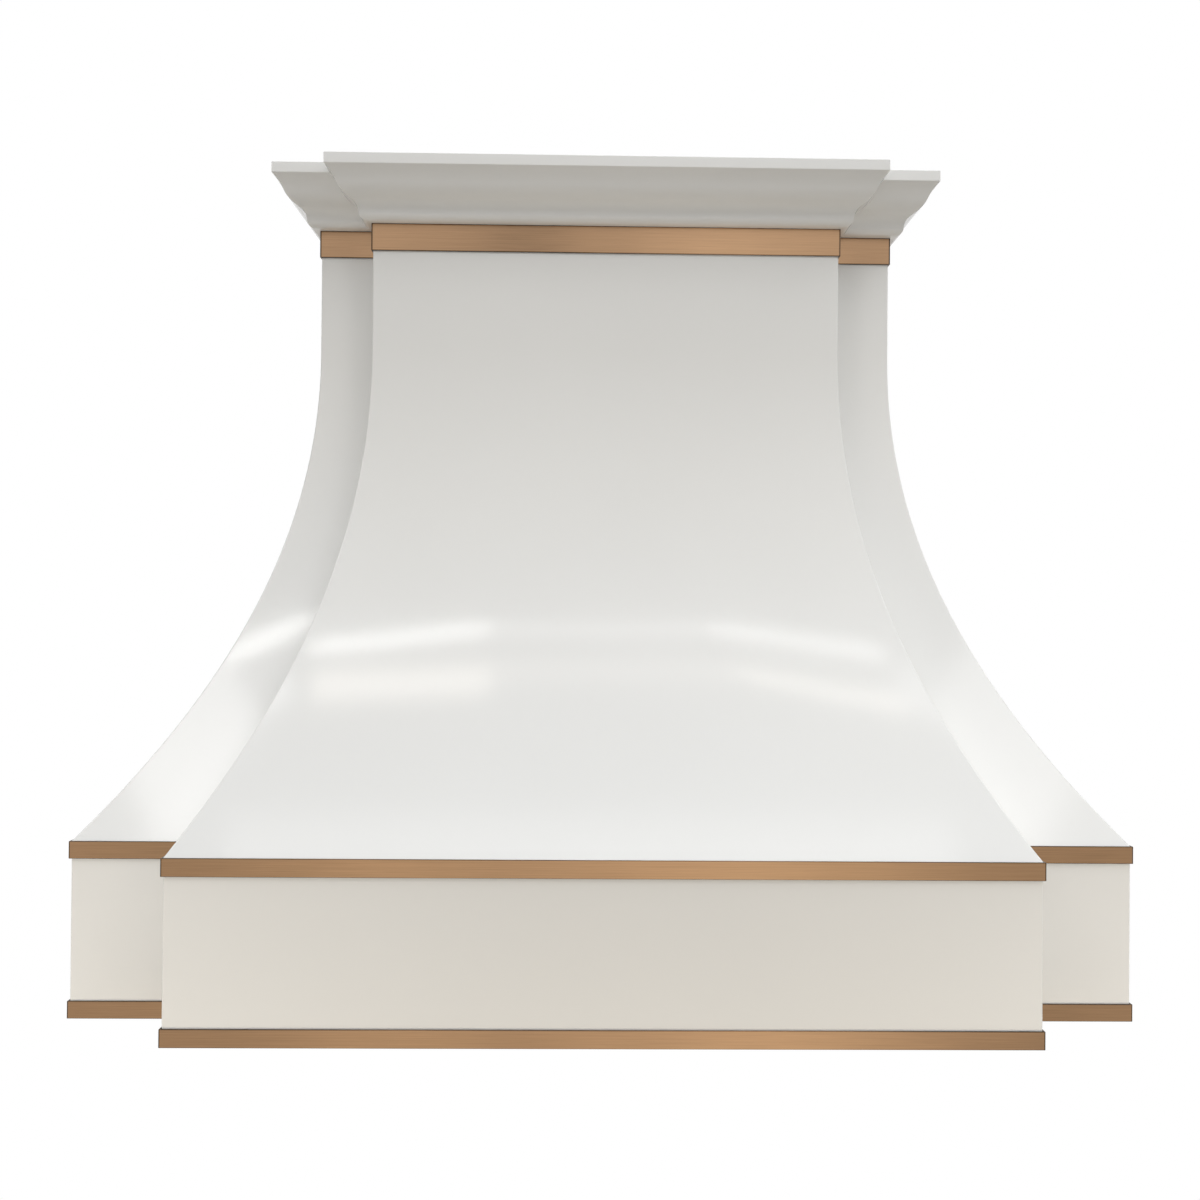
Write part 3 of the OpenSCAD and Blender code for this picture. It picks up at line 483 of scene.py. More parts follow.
@dataclass(frozen=True)
class FrostedLens(Finish):
    """Milky lamp lens of pressed glass with a prismatic face, and a faint painted glow for light scattered in it."""

    prisms: float = 330.0
    prism_depth: float = 0.0006
    clear: float = 0.15
    painted_glow: float = 0.3

    def dress(self, graph: Graph) -> None:
        """Builds small square prisms over a milky body with a faint painted glow.

        Args:
            graph: The material's graph.
        """
        x, y, _ = graph.place()
        wave = graph.add("ShaderNodeTexVoronoi", {"feature": "F1", "distance": "CHEBYCHEV"},
                         {"Vector": graph.vector(x, y, 0.0), "Scale": self.prisms, "Randomness": 0.0}, "Distance")
        # the emission is a painted glow for light scattered in the milky glass
        graph.drive(Base_Color=graph.mix(wave, self.colour, shade(self.colour, 0.94)), Roughness=wave * 0.2 + 0.12,
                    Transmission_Weight=self.clear, IOR=1.49, Coat_Weight=0.6, Emission_Color=self.colour,
                    Emission_Strength=self.painted_glow, Normal=graph.bump(1.0 - wave, self.prism_depth, 0.6))


class Palette:
    """The finishes of the hood. Where two share a slot, the first dresses the CAD nodes."""

    white = PowderCoat("satin_white_coat", "white_shell", tint(232, 232, 230))
    # painted light on the copper: shade towards the ends, reflections along X, shadow lines at rims and corners
    copper = BrushedMetal(
        "brushed_copper", "copper_band", tint(180, 141, 103), streak=0.15, fine=2200.0, depth=0.00001, lacquer=0.25,
        fade=(0.2, 0.48, 0.32), painted_reflections=((0.14, 0.12, 0.18), (-0.1, 0.09, -0.16)), rims=(0.0, 0.020, 0.182, 0.202),
        corners=((0.6115, -0.536), (0.4755, -0.612), (0.4755, -0.536)))
    # the top band: a darker copy of the copper, painted shade for the darker room that it reflects
    copper_shaded_top = BrushedMetal(
        "brushed_copper_shaded_top", "copper_band", tint(168, 134, 102), streak=0.16, fine=1900.0, depth=0.00001, lacquer=0.25,
        fade=(0.3, 0.37, 0.14), painted_reflections=((0.16, 0.1, 0.3), (-0.1, 0.08, -0.32)), rims=(0.957, 0.994),
        corners=((0.3975, -0.295), (0.320, -0.326), (0.320, -0.295)), shadow_line=0.0013, shadow_line_depth=0.75)
    rail = ZincCoat("galvanised_sheet", "galvanised_rail", tint(190, 194, 196))
    liner = BrushedMetal("brushed_stainless", "brushed_liner", tint(186, 186, 184), Grain.ACROSS, 0.32, 0.16)
    baffle = BrushedMetal("brushed_baffle", "brushed_liner", tint(192, 192, 190), Grain.DEPTH, 0.26, 0.16)
    polished = BrushedMetal(
        "polished_steel", "polished_steel", tint(205, 205, 204), Grain.LEVEL, 0.14, 0.06, 2200.0, 0.000003)
    screw = BrushedMetal("zinc_plate", "zinc_screw", tint(176, 178, 178), Grain.LEVEL, 0.3, 0.12, 2600.0)
    magnet = Moulded("black_ferrite", "magnet_black", tint(46, 46, 48), 0.55, 1400.0)
    aluminium = BrushedMetal(
        "rolled_aluminium", "impeller_aluminium", tint(200, 202, 204), Grain.ACROSS, 0.28, 0.12, 1800.0)
    motor = Moulded("grey_enamel", "motor_paint", tint(70, 73, 76), 0.42, 500.0, 0.00004, 0.2)
    plastic = Moulded("black_moulding", "black_plastic", tint(34, 34, 36), 0.48)
    capacitor = Moulded("white_case", "capacitor_white", tint(222, 221, 216), 0.36)
    panel = Moulded("gloss_black_panel", "panel_black", tint(20, 20, 22), 0.16, 300.0, 0.000004, 0.5)
    lens = FrostedLens("pressed_lens", "lamp_glass", tint(245, 243, 236))

    @classmethod
    def by_slot(cls) -> dict[str, Finish]:
        """Finds the first finish of each material slot.

        Returns:
            The finishes by slot.
        """
        found: dict[str, Finish] = {}
        for finish in vars(cls).values():
            if isinstance(finish, Finish):
                found.setdefault(finish.slot, finish)
        return found


class Bench:
    """One mesh under work in edit mode, shaped with Blender's own operators."""

    def __init__(self, name: str) -> None:
        """Adds a small plane and merges it to one vertex at the origin, to draw from.

        Args:
            name: Name of the mesh and its object.
        """
        bpy.ops.object.select_all(action="DESELECT")
        bpy.ops.mesh.primitive_plane_add(size=0.01)
        self.piece = bpy.context.object
        self.piece.name = self.piece.data.name = name
        bpy.ops.object.mode_set(mode="EDIT")
        bpy.ops.mesh.select_mode(type="VERT")
        self.whole()
        bpy.ops.mesh.merge(type="CENTER")

    @classmethod
    def around(cls, piece: Piece) -> "Bench":
        """Takes a finished mesh back into edit mode.

        Args:
            piece: The mesh object.

        Returns:
            A bench that holds it.
        """
        activate(piece)
        bpy.ops.object.mode_set(mode="EDIT")
        bench = cls.__new__(cls)
        bench.piece = piece
        return bench

    def whole(self) -> None:
        """Selects all of the mesh."""
        bpy.ops.mesh.select_all(action="SELECT")

    def shift(self, by: Vector) -> None:
        """Moves what is selected."""
        bpy.ops.transform.translate(value=by)

    def line(self, by: Vector) -> None:
        """Draws an edge from the selected vertex."""
        bpy.ops.mesh.extrude_vertices_move(TRANSFORM_OT_translate={"value": by})

    def arc(self, centre: Vector, axis: Vector, angle: float, steps: int) -> None:
        """Draws an arc from the selected vertex."""
        bpy.ops.mesh.spin(steps=steps, angle=-angle, center=centre, axis=axis)

    def sweep(self, by: Vector) -> None:
        """Extrudes the whole mesh into faces."""
        self.whole()
        bpy.ops.mesh.extrude_region_move(TRANSFORM_OT_translate={"value": by})

    def turn(self, x: float, y: float, steps: int) -> None:
        """Turns the whole drawn profile about an upright axis into a closed ring.

        Args:
            x: The axis's X.
            y: The axis's Y.
            steps: Faces round the ring.
        """
        self.whole()
        bpy.ops.mesh.spin(steps=steps, angle=2 * math.pi, center=(x, y, 0.0), axis=(0.0, 0.0, 1.0))
        self.weld()

    def scale(self, by: Sequence[float], centre: Sequence[float]) -> None:
        """Stretches the whole mesh about a place."""
        self.whole()
        bpy.ops.transform.resize(value=by, center_override=centre)

    def pick(self, test: Callable[[Vector], bool], kind: str = "VERT") -> None:
        """Selects by place.

        Args:
            test: Says whether a place is wanted.
            kind: VERT, EDGE or FACE; the places of edges and faces are their middles.
        """
        bpy.ops.mesh.select_mode(type=kind)
        bpy.ops.mesh.select_all(action="DESELECT")
        mesh = bmesh.from_edit_mesh(self.piece.data)
        places = {"VERT": (mesh.verts, lambda vert: vert.co),
                  "EDGE": (mesh.edges, lambda edge: (edge.verts[0].co + edge.verts[1].co) / 2),
                  "FACE": (mesh.faces, lambda face: face.calc_center_median())}
        parts, place = places[kind]
        for part in [part for part in parts if test(place(part))]:
            part.select_set(True)
        bmesh.update_edit_mesh(self.piece.data)

    def pick_level(self, height: float, kind: str) -> None:
        """Selects the edges or faces whose middles lie at a height above the bottom edge."""
        self.pick(lambda spot: abs(spot.z - z(height)) < CLOSE, kind)

    def round_level(self, height: float, radius: float, segments: int) -> None:
        """Rounds the upright edges whose middles lie at a height above the bottom edge."""
        self.pick_level(height, "EDGE")
        bpy.ops.mesh.bevel(offset=radius, segments=segments, affect="EDGES")

    def cut(self, point: Sequence[float], along: Sequence[float], keep: Sequence[float]) -> None:
        """Saws the mesh along an upright plane and drops one side.

        Args:
            point: Plan point on the plane.
            along: Plan direction of the plane.
            keep: Plan point on the side that stays.
        """
        normal = Vector((along[1], -along[0], 0.0)).normalized()
        if Vector((keep[0] - point[0], keep[1] - point[1], 0.0)).dot(normal) > 0:
            normal = -normal
        self.whole()
        bpy.ops.mesh.bisect(plane_co=(point[0], point[1], 0.0), plane_no=normal, clear_outer=True, threshold=1e-6)

    def weld(self, outwards: bool = True) -> None:
        """Merges doubles.

        Args:
            outwards: Whether the faces are then turned outwards.
        """
        bpy.ops.mesh.select_mode(type="VERT")
        self.whole()
        bpy.ops.mesh.remove_doubles(threshold=0.00002)
        if outwards:
            bpy.ops.mesh.normals_make_consistent(inside=False)

    def done(self) -> Piece:
        """Leaves edit mode."""
        bpy.ops.object.mode_set(mode="OBJECT")
        return self.piece


def activate(piece: Piece) -> None:
    """Selects one piece alone and makes it active.

    Args:
        piece: The piece.
    """
    bpy.ops.object.select_all(action="DESELECT")
    piece.select_set(True)
    bpy.context.view_layer.objects.active = piece


def apply_modifier(piece: Piece, kind: str, **settings: object) -> None:
    """Applies a modifier to the active piece.

    Args:
        piece: The active piece.
        kind: The modifier's type.
        settings: Its properties.
    """
    modifier = piece.modifiers.new(kind.title(), kind)
    for key, value in settings.items():
        setattr(modifier, key, value)
    bpy.ops.object.modifier_apply(modifier=modifier.name)


def finish_mesh(piece: Piece, bevel: float = 0.0, segments: int = 2, wall: float = 0.0, angle: float = 30.0,
                mirror: bool = False) -> Piece:
    """Gives a piece its wall, its rounded edges and smooth shading.

    Args:
        piece: The mesh object.
        bevel: Radius of the edges, or 0 for none.
        segments: Faces across an edge's round.
        wall: Thickness added behind an open sheet.
        angle: Edges sharper than this, in degrees, are rounded.
        mirror: Whether the right half is mirrored to the left.

    Returns:
        The finished piece.
    """
    activate(piece)
    if mirror:
        apply_modifier(piece, "MIRROR", use_axis=(True, False, False), merge_threshold=0.00005)
    if wall:
        apply_modifier(piece, "SOLIDIFY", thickness=wall, offset=-1.0, use_even_offset=True)
    if bevel:
        apply_modifier(piece, "BEVEL", width=bevel, segments=segments, limit_method="ANGLE",
                       angle_limit=math.radians(angle), harden_normals=False)
    bpy.ops.object.shade_smooth_by_angle(angle=SMOOTH_ANGLE)
    apply_modifier(piece, "WEIGHTED_NORMAL", keep_sharp=True, weight=80)
    return piece


def join(pieces: Sequence[Piece], name: str) -> Piece:
    """Joins meshes into the first one.

    Args:
        pieces: The meshes, of which the others are used up.
        name: Name of the whole.

    Returns:
        The joined piece.
    """
    activate(pieces[0])
    for piece in pieces[1:]:
        piece.select_set(True)
    if len(pieces) > 1:
        bpy.ops.object.join()
    pieces[0].name = pieces[0].data.name = name
    return pieces[0]


def place_piece(piece: Piece, finish: Finish, *nodes: str, body: str = "hood") -> None:
    """Paints a piece, lets it ride on its body and names the CAD nodes that it stands for.

    Args:
        piece: The finished mesh.
        finish: Its finish, which carries the material slot.
        nodes: CAD nodes that it stands for.
        body: The CAD body that carries it.
    """
    piece.data.materials.clear()
    piece.data.materials.append(finish.material())
    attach(piece, body)
    if nodes:
        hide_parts(*nodes)
    LOG.info("%s: %d faces on %s for %s", piece.name, len(piece.data.polygons), body, ", ".join(nodes) or "no node")


def started(name: str) -> Bench:
    """Puts the place of the primitive that was just added into its mesh.

    Args:
        name: Its new name.

    Returns:
        A bench that holds it.
    """
    piece = bpy.context.object
    piece.name = piece.data.name = name
    bpy.ops.object.transform_apply(location=True, rotation=True, scale=True)
    return Bench.around(piece)


def block(name: str, low: Sequence[float], high: Sequence[float]) -> Bench:
    """Starts a piece from a block.

    Args:
        name: Name of the piece.
        low: Its lowest corner, as X, Y and height above the bottom edge.
        high: Its highest corner.

    Returns:
        A bench that holds the block.
    """
    bpy.ops.object.select_all(action="DESELECT")
    middle = lifted([(a + b) / 2 for a, b in zip(low, high)])
    bpy.ops.mesh.primitive_cube_add(size=1.0, location=middle, scale=[b - a for a, b in zip(low, high)])
    return started(name)


def rod(name: str, start: Sequence[float], end: Sequence[float], radius: float, sides: int = 24) -> Piece:
    """Makes a round bar between two points.

    Args:
        name: Name of the piece.
        start: X, Y and height above the bottom edge of one end.
        end: The same of the other end.
        radius: Its radius.
        sides: Faces round it.

    Returns:
        The bar.
    """
    bpy.ops.object.select_all(action="DESELECT")
    a, b = lifted(start), lifted(end)
    turn = (b - a).to_track_quat("Z", "Y").to_euler()
    bpy.ops.mesh.primitive_cylinder_add(vertices=sides, radius=radius, depth=(b - a).length, location=(a + b) / 2,
                                        rotation=turn)
    return started(name).done()


def lathe(name: str, x: float, y: float, profile: Sequence[Flat], steps: int = 48) -> Piece:
    """Turns a profile about an upright axis.

    Args:
        name: Name of the piece.
        x: The axis's X.
        y: The axis's Y.
        profile: Points of radius and height above the bottom edge.
        steps: Faces round the piece.

    Returns:
        The turned piece.
    """
    bench = Bench(name)
    bench.shift(lifted((x + profile[0][0], y, profile[0][1])))
    for (r0, h0), (r1, h1) in zip(profile, profile[1:]):
        bench.line(Vector((r1 - r0, 0.0, h1 - h0)))
    bench.turn(x, y, steps)
    return bench.done()


def wire(name: str, route: Sequence[Spot], radius: float, bend: float) -> Piece:
    """Bends a round wire along a route.

    Args:
        name: Name of the piece.
        route: X, Y and height above the bottom edge of its corners.
        radius: The wire's radius.
        bend: How far from a corner its bend starts.

    Returns:
        The wire as a mesh.
    """
    bench = Bench(name)
    places = [lifted(point) for point in route]
    bench.shift(places[0])
    for a, b in zip(places, places[1:]):
        bench.line(b - a)
    ends = (places[0], places[-1])
    bench.pick(lambda spot: all((spot - end).length > 1e-6 for end in ends))
    bpy.ops.mesh.bevel(offset=bend, segments=8, affect="VERTICES")
    bench.done()
    bpy.ops.object.convert(target="CURVE")
    curve = bpy.context.object.data
    curve.bevel_depth, curve.bevel_resolution, curve.use_fill_caps = radius, 4, True
    bpy.ops.object.convert(target="MESH")
    piece = bpy.context.object
    piece.name = piece.data.name = name
    bpy.ops.object.shade_smooth_by_angle(angle=SMOOTH_ANGLE)
    return piece


def drill(piece: Piece, cutters: Sequence[Piece]) -> Piece:
    """Cuts other pieces out of a piece.

    Args:
        piece: The piece.
        cutters: What is cut out, and used up.

    Returns:
        The piece.
    """
    activate(piece)
    for tool in cutters:
        apply_modifier(piece, "BOOLEAN", operation="DIFFERENCE", solver="EXACT", object=tool)
        bpy.data.objects.remove(tool)
    return piece


def twin_of(piece: Piece, name: str) -> Bench:
    """Copies a piece with its own mesh.

    Args:
        piece: The piece.
        name: Name of the copy.

    Returns:
        A bench that holds the copy, all selected.
    """
    twin = piece.copy()
    twin.data = piece.data.copy()
    twin.name = twin.data.name = name
    bpy.context.collection.objects.link(twin)
    bench = Bench.around(twin)
    bench.whole()
    return bench


def copy_of(piece: Piece, name: str, by: Sequence[float]) -> Piece:
    """Copies a finished piece to another place.

    Args:
        piece: The piece.
        name: Name of the copy.
        by: How far it is moved.

    Returns:
        The copy.
    """
    bench = twin_of(piece, name)
    bench.shift(Vector(by))
    return bench.done()


def beside(point: Flat, along: Flat) -> Callable[[Vector], float]:
    """Gives a function for the signed distance of a place from an upright plane.

    Args:
        point: Plan point on the plane.
        along: Its plan direction.

    Returns:
        The distance, which is positive to the left of that direction.
    """
    normal = Vector((-along[1], along[0], 0.0)).normalized()
    return lambda spot: (spot - Vector((*point, spot.z))).dot(normal)


@dataclass(frozen=True)
class HalfPlan:
    """Right half of the shell's plan: the wing's corner, then the bay's."""

    half: float
    depth: float
    bay_half: float
    step: float

    @property
    def corners(self) -> tuple[Flat, Flat, Flat]:
        """Side to wing, wing to bay return, and bay return to bay front."""
        return (self.half, -self.depth), (self.bay_half, -self.depth), (self.bay_half, -self.depth - self.step)


APRON = HalfPlan(0.6095, 0.534, 0.4735, 0.076)
NECK = HalfPlan(0.3955, 0.293, 0.318, 0.031)
SQUARE = ((1.0, -1.0), (1.0, -1.0), (1.0, -1.0))


@dataclass(frozen=True)
class Run:
    """One straight run of a moulding round the right half of the plan.

    out is the direction that it faces, base the plan point where its profile's zero lies, along the way that it
    runs, and ends are plan points with the directions of their mitres. keep lies on the run.
    """

    out: Vector
    base: Flat
    along: Vector
    length: float
    ends: tuple[tuple[Flat, Flat], ...] = ()
    keep: Flat = (0.0, 0.0)


def plan_runs(plan: HalfPlan, reach: float, hips: Sequence[Flat] = SQUARE, margin: float = 0.3) -> list[Run]:
    """The four runs of the right half: side, wing, bay return and bay front.

    Args:
        plan: The half plan.
        reach: How far the profile stands out at most.
        hips: Plan directions of the three mitres.
        margin: Length past the corners, sawn off at the mitres.

    Returns:
        The runs.
    """
    wing, valley, bay = zip(plan.corners, hips)
    wing_y, bay_y = -plan.depth, -plan.depth - plan.step
    over = reach + margin
    return [
        Run(RIGHT, (plan.half, 0.0), FRONT, plan.depth + over, (wing,), (plan.half + reach / 2, 0.0)),
        Run(FRONT, (plan.half + over, wing_y), -RIGHT, plan.half - plan.bay_half + over + margin, (wing, valley),
            ((plan.half + plan.bay_half) / 2, wing_y)),
        Run(RIGHT, (plan.bay_half, wing_y + margin), FRONT, plan.step + over + margin, (valley, bay),
            (plan.bay_half, wing_y - plan.step / 2)),
        Run(FRONT, (plan.bay_half + over, bay_y), -RIGHT, plan.bay_half + over, (bay,), (0.0, bay_y))]


class Pen:
    """Draws a profile of distance out and height on a bench."""

    def __init__(self, bench: Bench, run: Run, start: Flat) -> None:
        """Puts the first vertex at the profile's start, at the head of the run.

        Args:
            bench: The bench, with one vertex at the origin.
            run: The run.
            start: First profile point.
        """
        self.bench, self.out = bench, run.out
        self.base = Vector((*run.base, 0.0))
        self.spot = start
        bench.shift(self.at(*start))

    def at(self, out: float, height: float) -> Vector:
        """The place of a profile point."""
        return self.base + self.out * out + UP * z(height)

    def to(self, *points: Flat) -> None:
        """Draws straight edges from point to point.

        Args:
            points: Distances out and heights.
        """
        for point in points:
            self.bench.line(self.at(*point) - self.at(*self.spot))
            self.spot = point

    def arc(self, out: float, height: float, degrees: float, steps: int) -> None:
        """Draws an arc about a profile point, anticlockwise where out is to the right.

        Args:
            out: Centre's distance out.
            height: Centre's height.
            degrees: Angle of the arc.
            steps: Edges along it.
        """
        angle = math.radians(degrees)
        self.bench.arc(self.at(out, height), self.out.cross(UP), angle, steps)
        dx, dy = self.spot[0] - out, self.spot[1] - height
        cos, sin = math.cos(angle), math.sin(angle)
        self.spot = (out + dx * cos - dy * sin, height + dx * sin + dy * cos)


Draw = Callable[[Pen], None]


def build_run(name: str, run: Run, start: Flat, draw: Draw, flare: float = 1.0) -> Piece:
    """Draws a profile, extrudes it along its run and saws its mitres.

    Args:
        name: Name of the mesh.
        run: The run.
        start: First profile point.
        draw: Draws the rest of the profile.
        flare: Stretch of the profile away from its base.

    Returns:
        The run's open sheet, facing outwards.
    """
    bench = Bench(name)
    pen = Pen(bench, run, start)
    draw(pen)
    bench.sweep(run.along * run.length)
    if flare != 1.0:
        bench.scale([1.0 + abs(part) * (flare - 1.0) for part in run.out], pen.base)
    for point, direction in run.ends:
        bench.cut(point, direction, run.keep)
    mesh = bmesh.from_edit_mesh(bench.piece.data)
    if sum(face.normal.dot(run.out) * face.calc_area() for face in mesh.faces) < 0:
        bench.whole()
        bpy.ops.mesh.flip_normals()
    return bench.done()


def build_half(name: str, plan: HalfPlan, reach: float, start: Flat, draw: Draw, hips: Sequence[Flat] = SQUARE,
               flares: Sequence[float] = (1.0, 1.0, 1.0, 1.0)) -> Bench:
    """Builds the four runs of the right half and joins them.

    Args:
        name: Name of the mesh.
        plan: The half plan.
        reach: How far the profile stands out at most.
        start: First profile point.
        draw: Draws the rest of the profile.
        hips: Plan directions of the three mitres.
        flares: Stretch of each run's profile.

    Returns:
        A bench that holds the half, with its edges not yet merged.
    """
    runs = zip(plan_runs(plan, reach, hips), flares)
    return Bench.around(join([build_run(name, run, start, draw, flare) for run, flare in runs], name))


@dataclass
class Shell:
    """The coated sheets: seven swept panels and the apron."""

    height: float = 1.067
    apron_height: float = 0.202
    arc_top: float = 0.824
    skin: float = 0.0015
    round_radius: float = 0.0022
    flange: float = 0.024
    flange_set: float = 0.003
    steps: int = 40
    flare_reach: float = 0.3
    apron_edge: float = 0.0003
    apron_angle: float = 60.0
    finish: Finish = Palette.white
    sweep_radius: float = field(init=False)
    sweep_degrees: float = field(init=False)
    flares: tuple[float, ...] = field(init=False)

    def __post_init__(self) -> None:
        """Works out the sweep and how much farther each run flares than the sides."""
        side = APRON.half - NECK.half
        drop = self.arc_top - self.apron_height
        turn = 2 * math.atan(side / drop)
        self.sweep_degrees, self.sweep_radius = math.degrees(turn), drop / math.sin(turn)
        wing, back = APRON.depth - NECK.depth, APRON.bay_half - NECK.bay_half
        self.flares = (1.0, wing / side, back / side, (wing + APRON.step - NECK.step) / side)

    @property
    def hips(self) -> tuple[Flat, Flat, Flat]:
        """Plan directions of the wing's hip, the valley and the bay's hip."""
        _, wing, back, bay = self.flares
        return (1.0, -wing), (back, -wing), (back, -bay)

    def draw_sweep(self, pen: Pen) -> None:
        """The upright stretch and the arc below it."""
        pen.to((0.0, self.arc_top))
        pen.arc(self.sweep_radius, self.arc_top, self.sweep_degrees, self.steps)

    def round_corners(self, bench: Bench, plan: HalfPlan, hips: Sequence[Flat], slack: float = 0.00003) -> None:
        """Merges a half's runs and rounds its three upright corners.

        Args:
            bench: Holds the half.
            plan: The plan whose corners the planes pass through.
            hips: The planes' directions.
            slack: How far off a plane an edge may lie.
        """
        bench.weld(outwards=False)
        sides = [beside(point, hip) for point, hip in zip(plan.corners, hips)]
        bench.pick(lambda spot: any(abs(side(spot)) < slack for side in sides), "EDGE")
        bpy.ops.mesh.bevel(offset=self.round_radius, segments=5, profile=0.5, affect="EDGES", clamp_overlap=True)

    def build_panels(self) -> None:
        """Builds the right half's four sheets as one, rounds the hips and parts it again at them."""
        bench = build_half("sweep", NECK, self.flare_reach, (0.0, self.height - self.skin), self.draw_sweep, self.hips,
                           self.flares)
        half = bench.piece
        self.round_corners(bench, NECK, self.hips)
        planes = list(zip(NECK.corners, self.hips))
        for point, hip in planes:
            bench.whole()
            bpy.ops.mesh.bisect(plane_co=(*point, 0.0), plane_no=(hip[1], -hip[0], 0.0), threshold=1e-7)
        wing, valley, bay = (beside(point, hip) for point, hip in planes)
        tests = {"side_panel": lambda spot: wing(spot) > 0,
                 "wing_front": lambda spot: wing(spot) <= 0 < valley(spot),
                 "bay_return": lambda spot: valley(spot) <= 0 < bay(spot)}
        panels: dict[str, Piece] = {}
        for name, test in tests.items():
            bench.pick(test, "FACE")
            bpy.ops.mesh.separate(type="SELECTED")
            panels[name] = next(o for o in bpy.context.selected_objects if o is not half and o not in panels.values())
            panels[name].select_set(False)
        bench.done()
        self.add_flange(panels["side_panel"])
        for name, piece in panels.items():
            self.pair(piece, name)
        half.name = half.data.name = "bay_front_sheet"
        place_piece(finish_mesh(half, wall=self.skin, mirror=True), self.finish, "bay_front_panel")

    def add_flange(self, piece: Piece) -> None:
        """Folds a flange inwards along the side panel's rear edge.

        Args:
            piece: The right side panel.
        """
        bench = Bench.around(piece)
        bench.pick(lambda spot: abs(spot.y) < CLOSE, "EDGE")
        bpy.ops.mesh.duplicate()
        bench.shift(Vector((-self.skin, -self.flange_set, 0.0)))
        bpy.ops.mesh.extrude_region_move(TRANSFORM_OT_translate={"value": -RIGHT * self.flange})
        bench.done()

    def pair(self, piece: Piece, name: str) -> None:
        """Finishes a right panel and its mirrored twin on the left.

        Args:
            piece: The right panel's open sheet.
            name: Its name without the side.
        """
        bench = twin_of(piece, name)
        bench.scale((-1.0, 1.0, 1.0), (0.0, 0.0, 0.0))
        bpy.ops.mesh.flip_normals()
        for sheet, side in ((piece, "right"), (bench.done(), "left")):
            sheet.name = sheet.data.name = f"{name}_sheet_{side}"
            place_piece(finish_mesh(sheet, wall=self.skin), self.finish, f"{name}_{side}")

    def build_apron(self) -> None:
        """Builds the upright sheet round the foot of the sweep."""
        bench = build_half("apron_sheet", APRON, 0.0, (0.0, 0.0), lambda pen: pen.to((0.0, self.apron_height)))
        self.round_corners(bench, APRON, SQUARE)
        sheet = finish_mesh(bench.done(), self.apron_edge, 2, self.skin, self.apron_angle, mirror=True)
        place_piece(sheet, self.finish, "apron_panel")

    def build(self) -> None:
        """Builds every coated sheet."""
        self.build_panels()
        self.build_apron()


@dataclass
class Bands:
    """The three brushed copper bands."""

    thickness: float = 0.002
    apron_height: float = 0.020
    top_height: float = 0.037
    edge: float = 0.0006

    def band(self, name: str, plan: HalfPlan, foot: float, height: float) -> Piece:
        """Builds one band round a plan.

        Args:
            name: Name of the piece.
            plan: The half plan of its back.
            foot: Height of its lower edge.
            height: Its own height.

        Returns:
            The band.
        """
        out, top = self.thickness, foot + height
        bench = build_half(name, plan, out, (0.0, foot),
                           lambda pen: pen.to((out, foot), (out, top), (0.0, top), (0.0, foot)))
        bench.weld()
        bench.pick(lambda spot: abs(spot.y) < CLOSE, "EDGE")
        bpy.ops.mesh.edge_face_add()
        bench.whole()
        bpy.ops.mesh.normals_make_consistent(inside=False)
        return finish_mesh(bench.done(), self.edge, 3, mirror=True)

    def build(self) -> None:
        """Builds and places the bands."""
        for node, plan, foot, height, finish in (
                ("apron_band_upper", APRON, 0.182, self.apron_height, Palette.copper),
                ("apron_band_lower", APRON, 0.0, self.apron_height, Palette.copper),
                ("top_band", NECK, 0.957, self.top_height, Palette.copper_shaded_top)):
            place_piece(self.band(f"{node}_strip", plan, foot, height), finish, node)


@dataclass
class Crown:
    """The crown moulding with its mitred corners."""

    foot: float = 0.994
    height: float = 0.073
    out: float = 0.054
    fillet: float = 0.014
    soffit: float = 0.007
    round_radius: float = 0.0095
    upright: float = 0.0005
    hollow_radius: float = 0.0165
    shoulder_radius: float = 0.031
    shoulder_start: float = 25.0
    top_turn: float = 12.0
    lap: float = 0.014
    skin: float = 0.0015
    edge: float = 0.0006
    edge_angle: float = 32.0

    def draw(self, pen: Pen) -> None:
        """Draws the section: soffit, round, hollow, shoulder, top hollow, fillet and top.

        Args:
            pen: A pen at the back of the soffit.
        """
        belly = self.soffit + self.round_radius
        pen.to((self.soffit, self.foot))
        pen.arc(self.soffit, self.foot + self.round_radius, 90.0, 10)
        pen.to((belly, self.foot + self.round_radius + self.upright))
        hollow = Vector((belly + self.hollow_radius, self.round_radius + self.upright))
        pen.arc(hollow.x, self.foot + hollow.y, self.shoulder_start - 90.0, 12)
        start, turn = math.radians(self.shoulder_start), math.radians(self.top_turn)
        shoulder = hollow + (self.hollow_radius + self.shoulder_radius) * Vector((-math.sin(start), math.cos(start)))
        way = Vector((self.out, self.height - self.fillet)) - shoulder
        end = turn + math.atan2(way.y, way.x) + math.asin(self.shoulder_radius * math.cos(turn) / way.length)
        pen.arc(shoulder.x, self.foot + shoulder.y, math.degrees(end) - self.shoulder_start, 12)
        facing = Vector((math.sin(end), -math.cos(end)))
        chord = way - self.shoulder_radius * facing
        centre = shoulder + (self.shoulder_radius + chord.length / (2 * math.sin(turn))) * facing
        pen.arc(centre.x, self.foot + centre.y, -2 * self.top_turn, 8)
        pen.to((self.out, self.foot + self.height), (-self.lap, self.foot + self.height))

    def build(self) -> None:
        """Builds the moulding round the neck."""
        bench = build_half("crown_sheet", NECK, self.out, (0.0, self.foot), self.draw)
        bench.weld(outwards=False)
        sheet = finish_mesh(bench.done(), self.edge, 2, self.skin, self.edge_angle, mirror=True)
        place_piece(sheet, Palette.white, "crown_moulding")


